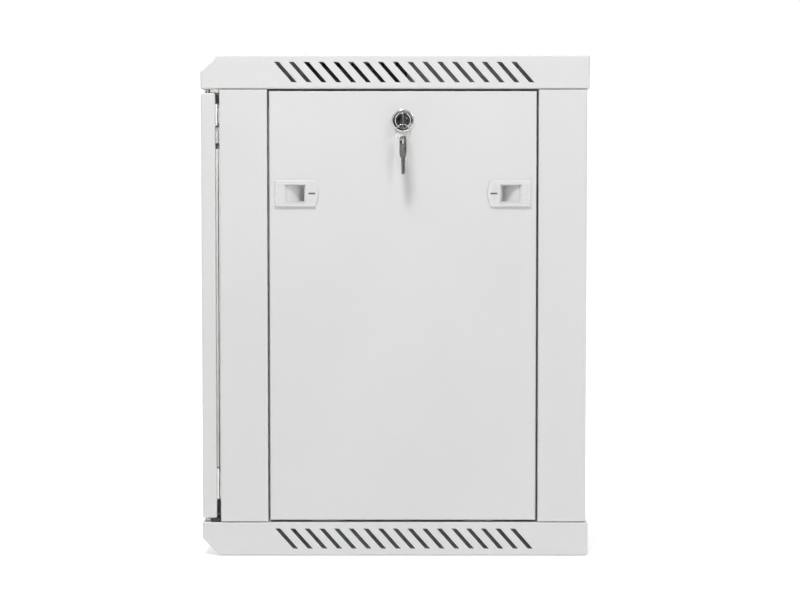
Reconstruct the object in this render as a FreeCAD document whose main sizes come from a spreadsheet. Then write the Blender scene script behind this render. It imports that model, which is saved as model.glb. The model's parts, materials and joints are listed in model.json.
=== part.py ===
import FreeCAD, Part
import os
import re
import Sketcher

# A wall-mounted 19-inch rack cabinet, nine units high, with a glass front door,
# two lift-off side panels on slide latches and cam locks, and four punched rails.
# X runs across the cabinet, Y from the door to the wall, and Z up from the underside.

DIMENSIONS = {
    # the case
    "cabinet_width": 540.0,
    "cabinet_depth": 390.0,
    "cabinet_height": 505.0,
    "case_gauge": 1.2,
    "band_height": 34.0,
    "corner_bevel": 17.5,
    "bend_radius": 2.2,
    "fold_radius": 1.4,
    "end_radius": 0.3,
    "seam_gap": 0.8,
    "hem_width": 2.0,
    "front_ledge": 35.0,
    "rear_ledge": 17.5,
    "front_setback": 18.7,
    "rear_setback": 2.5,
    "front_strip": 48.0,
    "rear_strip": 48.6,
    "box_depth": 27.0,
    "return_width": 12.0,
    "rebate_depth": 15.0,
    "lip_width": 10.0,
    "seat_gap": 0.2,
    "hole_fit": 0.05,
    "overcut": 1.0,
    # slanted vents in the side bands
    "vent_count": 17,
    "vent_pitch": 14.85,
    "vent_width": 5.0,
    "vent_height": 20.4,
    "vent_slant": 18.0,
    "vent_start": 73.7,
    "vent_edge": 7.2,
    # roof grilles and cable entries
    "grille_count": 9,
    "grille_pitch": 12.0,
    "grille_width": 6.0,
    "grille_length": 96.0,
    "grille_spread": 105.0,
    "grille_setback": 45.0,
    "entry_length": 200.0,
    "entry_width": 60.0,
    "entry_setback": 35.0,
    "entry_overlap": 12.0,
    "trim_gauge": 2.0,
    "trim_flange": 5.0,
    "trim_lift": 0.3,
    "plate_screw_length": 9.0,
    "plate_head_height": 1.6,
    # wall fixing
    "fixing_length": 460.0,
    "fixing_bevel": 5.5,
    "fixing_height": 54.0,
    "fixing_spread": 400.0,
    "fixing_low": 67.5,
    "fixing_high": 437.5,
    "fixing_radius": 4.5,
    # equipment rails and the brackets that carry them
    "unit_height": 44.45,
    "unit_count": 9,
    "rail_opening": 450.8,
    "rail_gauge": 1.5,
    "rail_web": 30.0,
    "rail_margin": 14.0,
    "front_rail_setback": 77.0,
    "rear_rail_setback": 67.0,
    "hole_spread": 465.1,
    "hole_side": 9.5,
    "hole_first": 6.35,
    "hole_step": 15.875,
    "bracket_height": 26.0,
    "bracket_gap": 2.0,
    "bracket_flange": 7.2,
    "bracket_relief": 1.0,
    "slot_length": 70.0,
    "screw_radius": 2.4,
    "screw_clearance": 0.2,
    "screw_fit": 0.1,
    "head_radius": 4.56,
    "head_height": 2.4,
    "nut_radius": 4.08,
    "nut_height": 3.0,
    "thread_end": 1.0,
    "screw_inset": 6.5,
    "web_screw_inset": 18.0,
    "cage_width": 12.0,
    "cage_height": 11.0,
    "cage_depth": 4.5,
    "cage_play": 0.1,
    "cage_thread_radius": 3.0,
    # earth stud
    "stud_side": 200.0,
    "stud_setback": 45.0,
    "stud_radius": 3.0,
    "stud_height": 16.0,
    "stud_nut_radius": 5.8,
    "stud_nut_height": 5.0,
    # side panels
    "panel_gauge": 1.0,
    "panel_depth": 14.5,
    "panel_side_gap": 2.0,
    "panel_end_gap": 2.4,
    "panel_edge_radius": 1.6,
    "hook_width": 24.0,
    "hook_drop": 6.0,
    "hook_inset": 12.5,
    "hook_spread": 78.0,
    "hook_play": 2.0,
    "hook_slot_near": 0.5,
    "hook_slot_far": 9.0,
    # slide latches
    "latch_level": 366.3,
    "latch_inset": 5.7,
    "latch_length": 43.5,
    "latch_height": 26.2,
    "latch_stand": 2.2,
    "latch_point": 2.8,
    "latch_tip": 3.0,
    "shield_radius": 0.8,
    "guide_start": 3.0,
    "guide_end": 38.0,
    "guide_reach": 10.8,
    "guide_depth": 16.0,
    "guide_wall": 1.8,
    "window_start": 11.4,
    "window_ramp": 3.0,
    "window_end": 30.7,
    "window_reach": 8.8,
    "slide_fit": 0.3,
    "carriage_start": 10.2,
    "carriage_sink": 1.5,
    "tongue_start": 3.3,
    "tongue_gauge": 2.5,
    "scoop_start": 11.3,
    "scoop_lip": 1.2,
    "scoop_foot": 26.5,
    "scoop_depth": 10.5,
    "scoop_end": 29.3,
    "scoop_height": 15.8,
    # cam locks
    "lock_level": 439.4,
    "bezel_radius": 11.5,
    "bezel_stand": 2.2,
    "bezel_chamfer": 1.0,
    "bezel_slope": 1.2,
    "barrel_radius": 9.4,
    "barrel_play": 0.4,
    "lock_nut_radius": 12.7,
    "lock_nut_height": 4.0,
    "thread_fit": 0.02,
    "core_radius": 7.0,
    "core_fit": 0.08,
    "core_sink": 0.3,
    "keyway_play": 0.3,
    "keyway_end_play": 0.8,
    "cam_length": 30.0,
    "cam_width": 14.0,
    "cam_gauge": 2.0,
    "spigot_side": 6.0,
    "tapping_radius": 1.6,
    "tapping_depth": 1.5,
    "cam_head_radius": 4.6,
    "cam_head_height": 2.6,
    "cam_shank_radius": 1.5,
    "side_lock_reach": 17.2,
    "door_lock_reach": 21.0,
    "cam_window_drop": 34.0,
    "cam_window_rise": 12.0,
    # key, spare key and ring
    "key_gauge": 2.0,
    "bow_height": 18.0,
    "bow_length": 20.5,
    "bow_radius": 5.0,
    "blade_height": 7.0,
    "blade_length": 17.2,
    "key_slot_height": 12.0,
    "key_slot_width": 5.0,
    "key_rim": 2.5,
    "key_stand": 3.5,
    "ring_radius": 7.6,
    "ring_wire": 0.7,
    "ring_hang": 12.2,
    "ring_play": 0.3,
    # front door
    "door_depth": 14.2,
    "door_inset": 0.4,
    "door_side_gap": 0.6,
    "door_gap": 4.3,
    "door_stile": 62.0,
    "door_rail": 48.0,
    "door_return": 26.0,
    "glass_gauge": 4.0,
    "glass_overlap": 8.0,
    "seal_gauge": 0.8,
    "clip_length": 16.0,
    "clip_gauge": 1.2,
    "clip_gap": 0.3,
    "clip_reach": 6.0,
    "clip_low": 140.0,
    "clip_high": 365.0,
    "clip_spread": 110.0,
    "door_lock_inset": 40.0,
    "buffer_stand": 3.3,
    "buffer_inset": 2.0,
    "buffer_width": 8.0,
    "low_buffer_start": 55.0,
    "low_buffer_end": 87.0,
    "high_buffer_start": 434.0,
    "high_buffer_end": 455.0,
    "hinge_side_inset": 8.0,
    "hinge_front_inset": 6.7,
    "pin_radius": 2.5,
    "pin_fit": 0.08,
    "pin_seat": 30.0,
    "pin_end": 4.5,
    "bush_radius": 4.4,
    "bush_gap": 0.9,
    "spigot_radius": 3.4,
    "spigot_length": 3.0,
}

# Places that several sub-parts share, as expressions on the dimensions above.
SIDE = "(cabinet_width / 2)"
FRONT = "(-cabinet_depth / 2)"
BACK = "(cabinet_depth / 2)"
ROOF = "(cabinet_height)"
CASE_LOW = "(band_height)"
CASE_HIGH = "(cabinet_height - band_height)"
FRONT_WALL = "(front_setback - cabinet_depth / 2)"
REAR_WALL = "(cabinet_depth / 2 - rear_setback)"
FRAME_X = "(cabinet_width / 2 - box_depth)"
REBATE_X = "(cabinet_width / 2 - rebate_depth)"
BRACKET_X = "(cabinet_width / 2 - box_depth - case_gauge)"
FRONT_JAMB = "(front_setback + front_strip - cabinet_depth / 2)"
REAR_JAMB = "(cabinet_depth / 2 - rear_setback - rear_strip)"
PANEL_FRONT = f"({FRONT_JAMB} + panel_side_gap)"
PANEL_BACK = f"({REAR_JAMB} - panel_side_gap)"
PANEL_LOW = "(band_height + panel_end_gap)"
PANEL_HIGH = "(cabinet_height - band_height - panel_end_gap)"
PANEL_MIDDLE = f"(({FRONT_JAMB} + {REAR_JAMB}) / 2)"
FRONT_RAIL = "(front_rail_setback - cabinet_depth / 2)"
REAR_RAIL = "(cabinet_depth / 2 - rear_rail_setback)"
LOW_SCREW = "(band_height + bracket_gap + bracket_height / 2)"
HIGH_SCREW = "(cabinet_height - band_height - bracket_gap - bracket_height / 2)"
ENTRY_BACK = "(cabinet_depth / 2 - entry_setback)"
ENTRY_FRONT = "(cabinet_depth / 2 - entry_setback - entry_width)"
DOOR_FRONT = "(door_inset - cabinet_depth / 2)"
DOOR_BACK = "(door_inset + door_depth - cabinet_depth / 2)"
DOOR_SIDE = "(cabinet_width / 2 - door_side_gap)"
DOOR_LOW = "(band_height + door_gap)"
DOOR_HIGH = "(cabinet_height - band_height - door_gap)"
WINDOW_SIDE = f"({DOOR_SIDE} - door_stile)"
WINDOW_LOW = f"({DOOR_LOW} + door_rail)"
WINDOW_HIGH = f"({DOOR_HIGH} - door_rail)"
DOOR_LOCK_X = "(door_lock_inset - cabinet_width / 2)"
DOOR_LOCK_Z = "(cabinet_height / 2)"
HINGE_X = "(cabinet_width / 2 - hinge_side_inset)"
HINGE_Y = "(hinge_front_inset - cabinet_depth / 2)"
RING_X = "(cabinet_width / 2 + key_stand + bow_length - key_rim - key_slot_width / 2)"
RING_Z = "(lock_level - ring_hang)"

doc = FreeCAD.newDocument("RackCabinet")
sheet = doc.addObject("Spreadsheet::Sheet", "Dims")
for row, (alias, value) in enumerate(DIMENSIONS.items(), start=1):
    sheet.set(f"A{row}", alias)
    sheet.set(f"B{row}", str(value))
    sheet.setAlias(f"B{row}", alias)
doc.recompute()

sub_parts = []


def qualified(expression):
    """The expression with each dimension's name pointing at its cell in the sheet."""
    return re.sub(
        r"[a-z_]+",
        lambda word: f"Dims.{word[0]}" if word[0] in DIMENSIONS else word[0],
        expression,
    )


def bind(thing, place, expression):
    thing.setExpression(place, qualified(expression))


def keep(thing, label):
    """Marks a finished sub-part, whose label is the name of its file."""
    thing.Label = label
    sub_parts.append(thing)
    return thing


def move_to(thing, x, y, z, turn=None):
    thing.Placement = FreeCAD.Placement(FreeCAD.Vector(), turn or FreeCAD.Rotation())
    bind(thing, "Placement.Base.x", x)
    bind(thing, "Placement.Base.y", y)
    bind(thing, "Placement.Base.z", z)
    return thing


# ---- primitives and booleans ----

TO_X = FreeCAD.Rotation(FreeCAD.Vector(0, 1, 0), 90)
TO_Y = FreeCAD.Rotation(FreeCAD.Vector(1, 0, 0), -90)


def block(name, x, y, z):
    """A box between two expressions along each axis."""
    box = doc.addObject("Part::Box", name)
    for size, (low, high) in zip(("Length", "Width", "Height"), (x, y, z)):
        bind(box, size, f"({high}) - ({low})")
    return move_to(box, x[0], y[0], z[0])


def rod(name, axis, centre, low, high, radius):
    """A cylinder along an axis, from low to high, with its centre in the other two."""
    cylinder = doc.addObject("Part::Cylinder", name)
    bind(cylinder, "Radius", radius)
    bind(cylinder, "Height", f"({high}) - ({low})")
    first, second = centre
    if axis == "X":
        return move_to(cylinder, low, first, second, TO_X)
    if axis == "Y":
        return move_to(cylinder, first, low, second, TO_Y)
    return move_to(cylinder, first, second, low)


def gather(name, pieces):
    """Separate solids as one object."""
    compound = doc.addObject("Part::Compound", name)
    compound.Links = list(pieces)
    return compound


def join(name, *pieces):
    fusion = doc.addObject("Part::MultiFuse", name)
    fusion.Shapes = list(pieces)
    fusion.Refine = True
    return fusion


def cut(name, base, *tools):
    cutting = doc.addObject("Part::Cut", name)
    cutting.Base = base
    cutting.Tool = tools[0] if len(tools) == 1 else gather(f"{name}_tools", tools)
    cutting.Refine = True
    return cutting


def shared(name, first, second):
    """What two shapes have in common."""
    common = doc.addObject("Part::Common", name)
    common.Base = first
    common.Tool = second
    common.Refine = True
    return common


def mirror(name, source, across_x=True):
    """The other hand: across the cabinet's middle, or across the side panel's."""
    copy = doc.addObject("Part::Mirroring", name)
    copy.Source = source
    copy.Normal = FreeCAD.Vector(1, 0, 0) if across_x else FreeCAD.Vector(0, 1, 0)
    if not across_x:
        bind(copy, "Base.y", PANEL_MIDDLE)
    return copy


def both_hands(name, source):
    return gather(name, [source, mirror(f"{name}_left", source)])


# ---- sketched bodies ----


def new_body(name):
    return doc.addObject("PartDesign::Body", name)


def rectangle(x, y):
    return [(x[0], y[0]), (x[1], y[0]), (x[1], y[1]), (x[0], y[1])]


def square(x, y, half):
    return rectangle((f"{x} - {half}", f"{x} + {half}"), (f"{y} - {half}", f"{y} + {half}"))


def circle(x, y, radius):
    return (x, y, radius)


def draw_circle(sketch, x, y, radius):
    index = sketch.addGeometry(Part.Circle(FreeCAD.Vector(), FreeCAD.Vector(0, 0, 1), 1), False)
    for kind, expression in (("DistanceX", x), ("DistanceY", y)):
        number = sketch.addConstraint(Sketcher.Constraint(kind, index, 3, 1))
        bind(sketch, f"Constraints[{number}]", expression)
    number = sketch.addConstraint(Sketcher.Constraint("Radius", index, 1))
    bind(sketch, f"Constraints[{number}]", radius)


def draw_outline(sketch, corners):
    """Straight edges through the corners, each corner held by its two coordinates."""
    first = sketch.GeometryCount
    count = len(corners)
    turn = FreeCAD.Rotation(FreeCAD.Vector(0, 0, 1), 360 / count)
    places = [FreeCAD.Vector(10, 0, 0)]
    for _ in corners[1:]:
        places.append(turn.multVec(places[-1]))
    for i in range(count):
        sketch.addGeometry(Part.LineSegment(places[i], places[(i + 1) % count]), False)
    for i in range(count):
        joint = Sketcher.Constraint("Coincident", first + i, 2, first + (i + 1) % count, 1)
        sketch.addConstraint(joint)
    for i, corner in enumerate(corners):
        for kind, start, expression in zip(("DistanceX", "DistanceY"), places[i], corner):
            number = sketch.addConstraint(Sketcher.Constraint(kind, first + i, 1, start))
            bind(sketch, f"Constraints[{number}]", expression)


def sketch_on(body, plane, level, *shapes):
    """A sketch at a level along its plane's normal: XY (+Z), YZ (+X) or XZ (-Y)."""
    sketch = body.newObject("Sketcher::SketchObject", f"{body.Name}_sketch")
    origin = [o for o in body.Origin.OriginFeatures if o.Role == f"{plane}_Plane"]
    sketch.AttachmentSupport = [(origin[0], "")]
    sketch.MapMode = "FlatFace"
    bind(sketch, "AttachmentOffset.Base.z", level)
    for shape in shapes:
        if isinstance(shape, tuple):
            draw_circle(sketch, *shape)
        else:
            draw_outline(sketch, shape)
    return sketch


def pad(body, sketch, length, symmetric=False):
    feature = body.newObject("PartDesign::Pad", f"{body.Name}_pad")
    feature.Profile = sketch
    bind(feature, "Length", length)
    feature.SideType = "Symmetric" if symmetric else "One side"
    doc.recompute()
    return feature


def pocket(body, sketch, length=None, symmetric=False):
    """Cuts away from the sketch, against its normal, or right through both ways."""
    before = body.Shape.Volume
    feature = body.newObject("PartDesign::Pocket", f"{body.Name}_pocket")
    feature.Profile = sketch
    if length is None:
        feature.Type = "ThroughAll"
        feature.SideType = "Symmetric"
    else:
        bind(feature, "Length", length)
        feature.SideType = "Symmetric" if symmetric else "One side"
    doc.recompute()
    if not body.Shape.Volume < before:
        raise RuntimeError(f"{feature.Name} cuts nothing")
    return feature


def repeat(body, feature, sketch, axis, pitch, count):
    """A row of copies of the feature along one of its sketch's axes."""
    pattern = body.newObject("PartDesign::LinearPattern", f"{body.Name}_row")
    pattern.Originals = [feature]
    pattern.Direction = (sketch, [axis])
    bind(pattern, "Length", f"{pitch} * ({count} - 1)")
    bind(pattern, "Occurrences", count)
    body.Tip = pattern
    doc.recompute()
    return pattern


def round_edges(body, chosen, radius):
    """Fillets the body's edges for which chosen(edge) is true."""
    tip = body.Tip
    names = [f"Edge{i}" for i, edge in enumerate(tip.Shape.Edges, start=1) if chosen(edge)]
    feature = body.newObject("PartDesign::Fillet", f"{body.Name}_fillet")
    feature.Base = (tip, names)
    bind(feature, "Radius", radius)
    doc.recompute()
    return feature


# ---- covers ----


def faces_case(edge):
    """The edges of a cover's outer form that face the uprights and the door."""
    levels = (sheet.band_height, sheet.cabinet_height - sheet.band_height)
    box = edge.BoundBox
    return any(abs(box.ZMin - level) + box.ZLength < 0.01 for level in levels)


def away_from_case(edge):
    return not faces_case(edge)


def cover(name, depth_at, vent_high, ledge_top, lip_low, ledge_shapes):
    """A hollow tray over the full plan: a sheet, a bevelled front, banded sides and an
    inner ledge with an opening, and two lips behind which the side panels close.
    depth_at gives the height at a depth inside the cover's outer face."""
    body = new_body(name)
    bevel_offset = "(sqrt(2) - 1) * case_gauge"
    outer = [
        (FRONT, depth_at("band_height")),
        (FRONT, depth_at("corner_bevel")),
        (f"{FRONT} + corner_bevel", depth_at("0")),
        (BACK, depth_at("0")),
        (BACK, depth_at("band_height")),
    ]
    inner = [
        (f"{FRONT} + case_gauge", depth_at("band_height - case_gauge")),
        (f"{FRONT} + case_gauge", depth_at(f"corner_bevel + {bevel_offset}")),
        (f"{FRONT} + corner_bevel + {bevel_offset}", depth_at("case_gauge")),
        (f"{BACK} - case_gauge", depth_at("case_gauge")),
        (f"{BACK} - case_gauge", depth_at("band_height - case_gauge")),
    ]
    pad(body, sketch_on(body, "YZ", "0", outer), "cabinet_width", symmetric=True)
    round_edges(body, away_from_case, "bend_radius")
    round_edges(body, faces_case, "fold_radius")
    hollow = sketch_on(body, "YZ", "0", inner)
    pocket(body, hollow, "cabinet_width - 2 * case_gauge", symmetric=True)
    well = rectangle(
        (f"-{REBATE_X}", REBATE_X),
        (f"{FRONT} + front_ledge", f"{BACK} - rear_ledge"),
    )
    hinge_hole = circle(HINGE_X, HINGE_Y, "spigot_radius + hole_fit")
    ledge = sketch_on(body, "XY", f"{ledge_top} + overcut", well, hinge_hole, *ledge_shapes)
    pocket(body, ledge, "case_gauge + 2 * overcut")
    lip_span = (f"{FRONT_JAMB} + lip_width", f"{REAR_JAMB} - lip_width")
    lips = [
        rectangle((f"{REBATE_X} - case_gauge", REBATE_X), lip_span),
        rectangle((f"-{REBATE_X}", f"case_gauge - {REBATE_X}"), lip_span),
    ]
    pad(body, sketch_on(body, "XY", lip_low, *lips), "lip_width + case_gauge")
    first = f"({FRONT} + vent_start)"
    vent = [
        (first, vent_high),
        (f"{first} + vent_width", vent_high),
        (f"{first} + vent_width + vent_slant", f"{vent_high} - vent_height"),
        (f"{first} + vent_slant", f"{vent_high} - vent_height"),
    ]
    vent_sketch = sketch_on(body, "YZ", "0", vent)
    slot = pocket(body, vent_sketch)
    repeat(body, slot, vent_sketch, "H_Axis", "vent_pitch", "vent_count")
    return body


def split_cover(end, whole, levels):
    """The cover as its two sheets: the tray, hemmed inwards all round, and the inner frame
    that closes on the hem and carries the lips."""
    inset = "(case_gauge + hem_width)"
    inside = block(
        f"{end}_inside",
        (f"{inset} - {SIDE}", f"{SIDE} - {inset}"),
        (f"{FRONT} + {inset}", f"{BACK} - {inset}"),
        levels,
    )
    keep(cut(f"{end}_cover", whole, inside), f"{end}_cover")
    keep(shared(f"{end}_inner_frame", whole, inside), f"{end}_inner_frame")


def from_roof(depth):
    return f"{ROOF} - ({depth})"


def from_floor(depth):
    return f"({depth})"


ENTRY = rectangle(("-entry_length / 2", "entry_length / 2"), (ENTRY_FRONT, ENTRY_BACK))

top_cover = cover(
    "whole_top_cover",
    from_roof,
    f"{ROOF} - vent_edge",
    f"{CASE_HIGH} + case_gauge",
    f"{CASE_HIGH} - lip_width",
    [],
)
plate_screw_x = "(entry_length / 2 + entry_overlap / 2)"
plate_screw_y = f"(({ENTRY_FRONT} + {ENTRY_BACK}) / 2)"
roof_holes = [ENTRY]
for side in ("", "-"):
    roof_holes.append(circle(f"{side}{plate_screw_x}", plate_screw_y, "screw_radius"))
roof_sketch = sketch_on(top_cover, "XY", f"{ROOF} + overcut", *roof_holes)
pocket(top_cover, roof_sketch, "case_gauge + 2 * overcut")
grille_low = "(-grille_pitch * (grille_count - 1) / 2 - grille_width / 2 - grille_setback)"
grilles = [
    rectangle(
        (f"{side}grille_spread - grille_length / 2", f"{side}grille_spread + grille_length / 2"),
        (grille_low, f"{grille_low} + grille_width"),
    )
    for side in ("", "-")
]
grille_sketch = sketch_on(top_cover, "XY", f"{ROOF} + overcut", *grilles)
grille = pocket(top_cover, grille_sketch, "case_gauge + 2 * overcut")
repeat(top_cover, grille, grille_sketch, "V_Axis", "grille_pitch", "grille_count")
split_cover("top", top_cover, (f"{CASE_HIGH} - lip_width - overcut", f"{CASE_HIGH} + case_gauge"))

hook_slots = []
for side in ("", "-"):
    for end in ("+", "-"):
        middle = f"({PANEL_MIDDLE} {end} hook_spread)"
        x_range = (f"{side}({REBATE_X} + hook_slot_near)", f"{side}({SIDE} - hook_slot_far)")
        y_range = (
            f"{middle} - hook_width / 2 - hook_play",
            f"{middle} + hook_width / 2 + hook_play",
        )
        hook_slots.append(rectangle(x_range, y_range))
bottom_cover = cover(
    "whole_bottom_cover",
    from_floor,
    "vent_edge + vent_height",
    CASE_LOW,
    f"{CASE_LOW} - case_gauge",
    hook_slots,
)
floor_sketch = sketch_on(bottom_cover, "XY", "case_gauge + overcut", ENTRY)
pocket(bottom_cover, floor_sketch, "case_gauge + 2 * overcut")
split_cover("bottom", bottom_cover, (f"{CASE_LOW} - case_gauge", f"{CASE_LOW} + lip_width + overcut"))

# ---- uprights ----


def side_fold(edge):
    """The two upright edges where a corner post's sheet turns at the cabinet's side."""
    box = edge.BoundBox
    return box.ZLength > sheet.band_height and box.XMin > sheet.cabinet_width / 2 - 0.01


def end_edge(edge):
    """The outer edges where a corner post meets the covers' bands."""
    box = edge.BoundBox
    return box.ZLength < 0.01 and box.XMin > sheet.cabinet_width / 2 - 0.01


def upright(name, wall, inward, strip):
    """A folded corner post. wall is its outer face and inward the sign towards the
    side panel, whose rebate lip ends it; the return at its other end takes brackets.
    Its side stops a little short of the covers, while its folds bear on them."""
    def at(depth):
        return f"{wall} {inward} ({depth})"

    outline = [
        (FRAME_X, at("return_width")),
        (FRAME_X, at("0")),
        (SIDE, at("0")),
        (SIDE, at(strip)),
        (REBATE_X, at(strip)),
        (REBATE_X, at(f"{strip} + lip_width")),
        (f"{REBATE_X} - case_gauge", at(f"{strip} + lip_width")),
        (f"{REBATE_X} - case_gauge", at(f"{strip} - case_gauge")),
        (f"{SIDE} - case_gauge", at(f"{strip} - case_gauge")),
        (f"{SIDE} - case_gauge", at("case_gauge")),
        (f"{FRAME_X} + case_gauge", at("case_gauge")),
        (f"{FRAME_X} + case_gauge", at("return_width")),
    ]
    body = new_body(name)
    pad(body, sketch_on(body, "XY", CASE_LOW, outline), f"{CASE_HIGH} - {CASE_LOW}")
    seams = [
        rectangle((at("-overcut"), at(f"{strip} + overcut")), span)
        for span in (
            (f"{CASE_LOW} - overcut", f"{CASE_LOW} + seam_gap"),
            (f"{CASE_HIGH} - seam_gap", f"{CASE_HIGH} + overcut"),
        )
    ]
    pocket(body, sketch_on(body, "YZ", f"{SIDE} + overcut", *seams), "case_gauge + 2 * overcut")
    round_edges(body, side_fold, "fold_radius")
    round_edges(body, end_edge, "end_radius")
    holes = [
        circle(at("screw_inset"), level, "screw_radius + screw_clearance")
        for level in (LOW_SCREW, HIGH_SCREW)
    ]
    hole_sketch = sketch_on(body, "YZ", f"{FRAME_X} + case_gauge + overcut", *holes)
    pocket(body, hole_sketch, "case_gauge + 2 * overcut")
    return body


front_upright = keep(
    upright("front_upright_right", FRONT_WALL, "+", "front_strip"), "front_upright_right"
)
rear_upright = keep(
    upright("rear_upright_right", REAR_WALL, "-", "rear_strip"), "rear_upright_right"
)
keep(mirror("rear_upright_left", rear_upright), "rear_upright_left")
cam_window = block(
    "cam_window",
    (f"-{FRAME_X} - case_gauge - overcut", f"-{FRAME_X} + overcut"),
    (f"{FRONT_WALL} + case_gauge", f"{FRONT_WALL} + return_width + overcut"),
    (f"{DOOR_LOCK_Z} - cam_window_drop", f"{DOOR_LOCK_Z} + cam_window_rise"),
)
left_upright = mirror("front_upright_left_plain", front_upright)
keep(cut("front_upright_left", left_upright, cam_window), "front_upright_left")

# ---- back panel and wall fixings ----

back_tray = block(
    "back_tray",
    (f"-{FRAME_X}", FRAME_X),
    (f"{REAR_WALL} - return_width", REAR_WALL),
    (f"{CASE_LOW} + seat_gap", f"{CASE_HIGH} - seat_gap"),
)
back_hollow = block(
    "back_hollow",
    (f"case_gauge - {FRAME_X}", f"{FRAME_X} - case_gauge"),
    (f"{REAR_WALL} - return_width - overcut", f"{REAR_WALL} - case_gauge"),
    (f"{CASE_LOW} + seat_gap + case_gauge", f"{CASE_HIGH} - seat_gap - case_gauge"),
)
wall_holes = [
    rod(
        "wall_hole",
        "Y",
        (f"{side}fixing_spread / 2", level),
        f"{REAR_WALL} - case_gauge - overcut",
        f"{BACK} + overcut",
        "fixing_radius",
    )
    for side in ("", "-")
    for level in ("fixing_low", "fixing_high")
]
return_cuts = [
    block(
        "return_cut",
        (f"{BRACKET_X} - overcut", f"{FRAME_X} + overcut"),
        (f"{REAR_WALL} - return_width - overcut", f"{REAR_WALL} - case_gauge"),
        (
            f"{level} - bracket_height / 2 - bracket_relief",
            f"{level} + bracket_height / 2 + bracket_relief",
        ),
    )
    for level in (LOW_SCREW, HIGH_SCREW)
]
mirrored_cuts = [mirror("return_cut_left", piece) for piece in return_cuts]
keep(
    cut("back_panel", back_tray, back_hollow, *wall_holes, *return_cuts, *mirrored_cuts),
    "back_panel",
)

wall_plates = []
for name, level in (("low_plate", "fixing_low"), ("high_plate", "fixing_high")):
    plate = new_body(name)
    section = [
        (REAR_WALL, f"{level} - fixing_height / 2"),
        (BACK, f"{level} - fixing_height / 2 + fixing_bevel"),
        (BACK, f"{level} + fixing_height / 2 - fixing_bevel"),
        (REAR_WALL, f"{level} + fixing_height / 2"),
    ]
    pad(plate, sketch_on(plate, "YZ", "0", section), "fixing_length", symmetric=True)
    holes = [circle(f"{side}fixing_spread / 2", level, "fixing_radius") for side in ("", "-")]
    pocket(plate, sketch_on(plate, "XZ", "0", *holes))
    wall_plates.append(plate)
keep(gather("wall_fixings", wall_plates), "wall_fixings")

# ---- depth brackets and equipment rails ----


def bracket(name, low, flange_low):
    """A rail bracket between the front and rear uprights, on the right."""
    plate = block(
        f"{name}_plate",
        (BRACKET_X, FRAME_X),
        (f"{FRONT_WALL} + case_gauge + seat_gap", f"{REAR_WALL} - case_gauge - seat_gap"),
        (low, f"{low} + bracket_height"),
    )
    flange = block(
        f"{name}_flange",
        (BRACKET_X, f"{BRACKET_X} + bracket_flange"),
        (
            f"{FRONT_WALL} + return_width + bracket_relief",
            f"{REAR_WALL} - return_width - bracket_relief",
        ),
        (flange_low, f"{flange_low} + case_gauge"),
    )
    level = f"({low} + bracket_height / 2)"
    bore = "(screw_radius + screw_clearance)"
    through = (f"{BRACKET_X} - overcut", f"{FRAME_X} + overcut")
    slots = [
        block(
            f"{name}_slot",
            through,
            (f"{middle} - slot_length / 2", f"{middle} + slot_length / 2"),
            (f"{level} - {bore}", f"{level} + {bore}"),
        )
        for middle in (f"({FRONT_RAIL} + web_screw_inset)", f"({REAR_RAIL} - web_screw_inset)")
    ]
    holes = [
        rod(f"{name}_hole", "X", (y, level), *through, bore)
        for y in (f"{FRONT_WALL} + screw_inset", f"{REAR_WALL} - screw_inset")
    ]
    return cut(name, join(f"{name}_angle", plate, flange), *slots, *holes)


low_bracket_z = f"({CASE_LOW} + bracket_gap)"
high_bracket_z = f"({CASE_HIGH} - bracket_gap - bracket_height)"
low_bracket = bracket("bracket_low_right", low_bracket_z, low_bracket_z)
high_bracket = bracket(
    "bracket_high_right", high_bracket_z, f"({CASE_HIGH} - bracket_gap - case_gauge)"
)
keep(low_bracket, "bracket_low_right")
keep(high_bracket, "bracket_high_right")
keep(mirror("bracket_low_left", low_bracket), "bracket_low_left")
keep(mirror("bracket_high_left", high_bracket), "bracket_high_left")

RAIL_LOW = "(cabinet_height / 2 - unit_height * unit_count / 2)"
HOLE_COLUMN = "(hole_spread / 2)"


def rail_hole(number):
    """The level of a rail's square hole, counted up from the lowest."""
    return f"({RAIL_LOW} + hole_first + hole_step * {number})"


def rail(name, face, inward):
    """An angle with square holes, three to a unit, and its web bolted to the brackets."""
    def at(depth):
        return f"{face} {inward} ({depth})"

    low = f"({RAIL_LOW} - rail_margin)"
    outline = [
        ("rail_opening / 2", at("0")),
        (BRACKET_X, at("0")),
        (BRACKET_X, at("rail_web")),
        (f"{BRACKET_X} - rail_gauge", at("rail_web")),
        (f"{BRACKET_X} - rail_gauge", at("rail_gauge")),
        ("rail_opening / 2", at("rail_gauge")),
    ]
    body = new_body(name)
    length = "unit_height * unit_count + 2 * rail_margin"
    pad(body, sketch_on(body, "XY", low, outline), length)
    holes = [square(HOLE_COLUMN, rail_hole(number), "hole_side / 2") for number in range(3)]
    hole_sketch = sketch_on(body, "XZ", "0", *holes)
    unit = pocket(body, hole_sketch)
    repeat(body, unit, hole_sketch, "V_Axis", "unit_height", "unit_count")
    screw_holes = [
        circle(at("web_screw_inset"), level, "screw_radius + screw_clearance")
        for level in (LOW_SCREW, HIGH_SCREW)
    ]
    pocket(body, sketch_on(body, "YZ", "0", *screw_holes))
    return body


front_rail = rail("front_rail_right", FRONT_RAIL, "+")
rear_rail = rail("rear_rail_right", REAR_RAIL, "-")
keep(front_rail, "front_rail_right")
keep(rear_rail, "rear_rail_right")
keep(mirror("front_rail_left", front_rail), "front_rail_left")
keep(mirror("rear_rail_left", rear_rail), "rear_rail_left")


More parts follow.
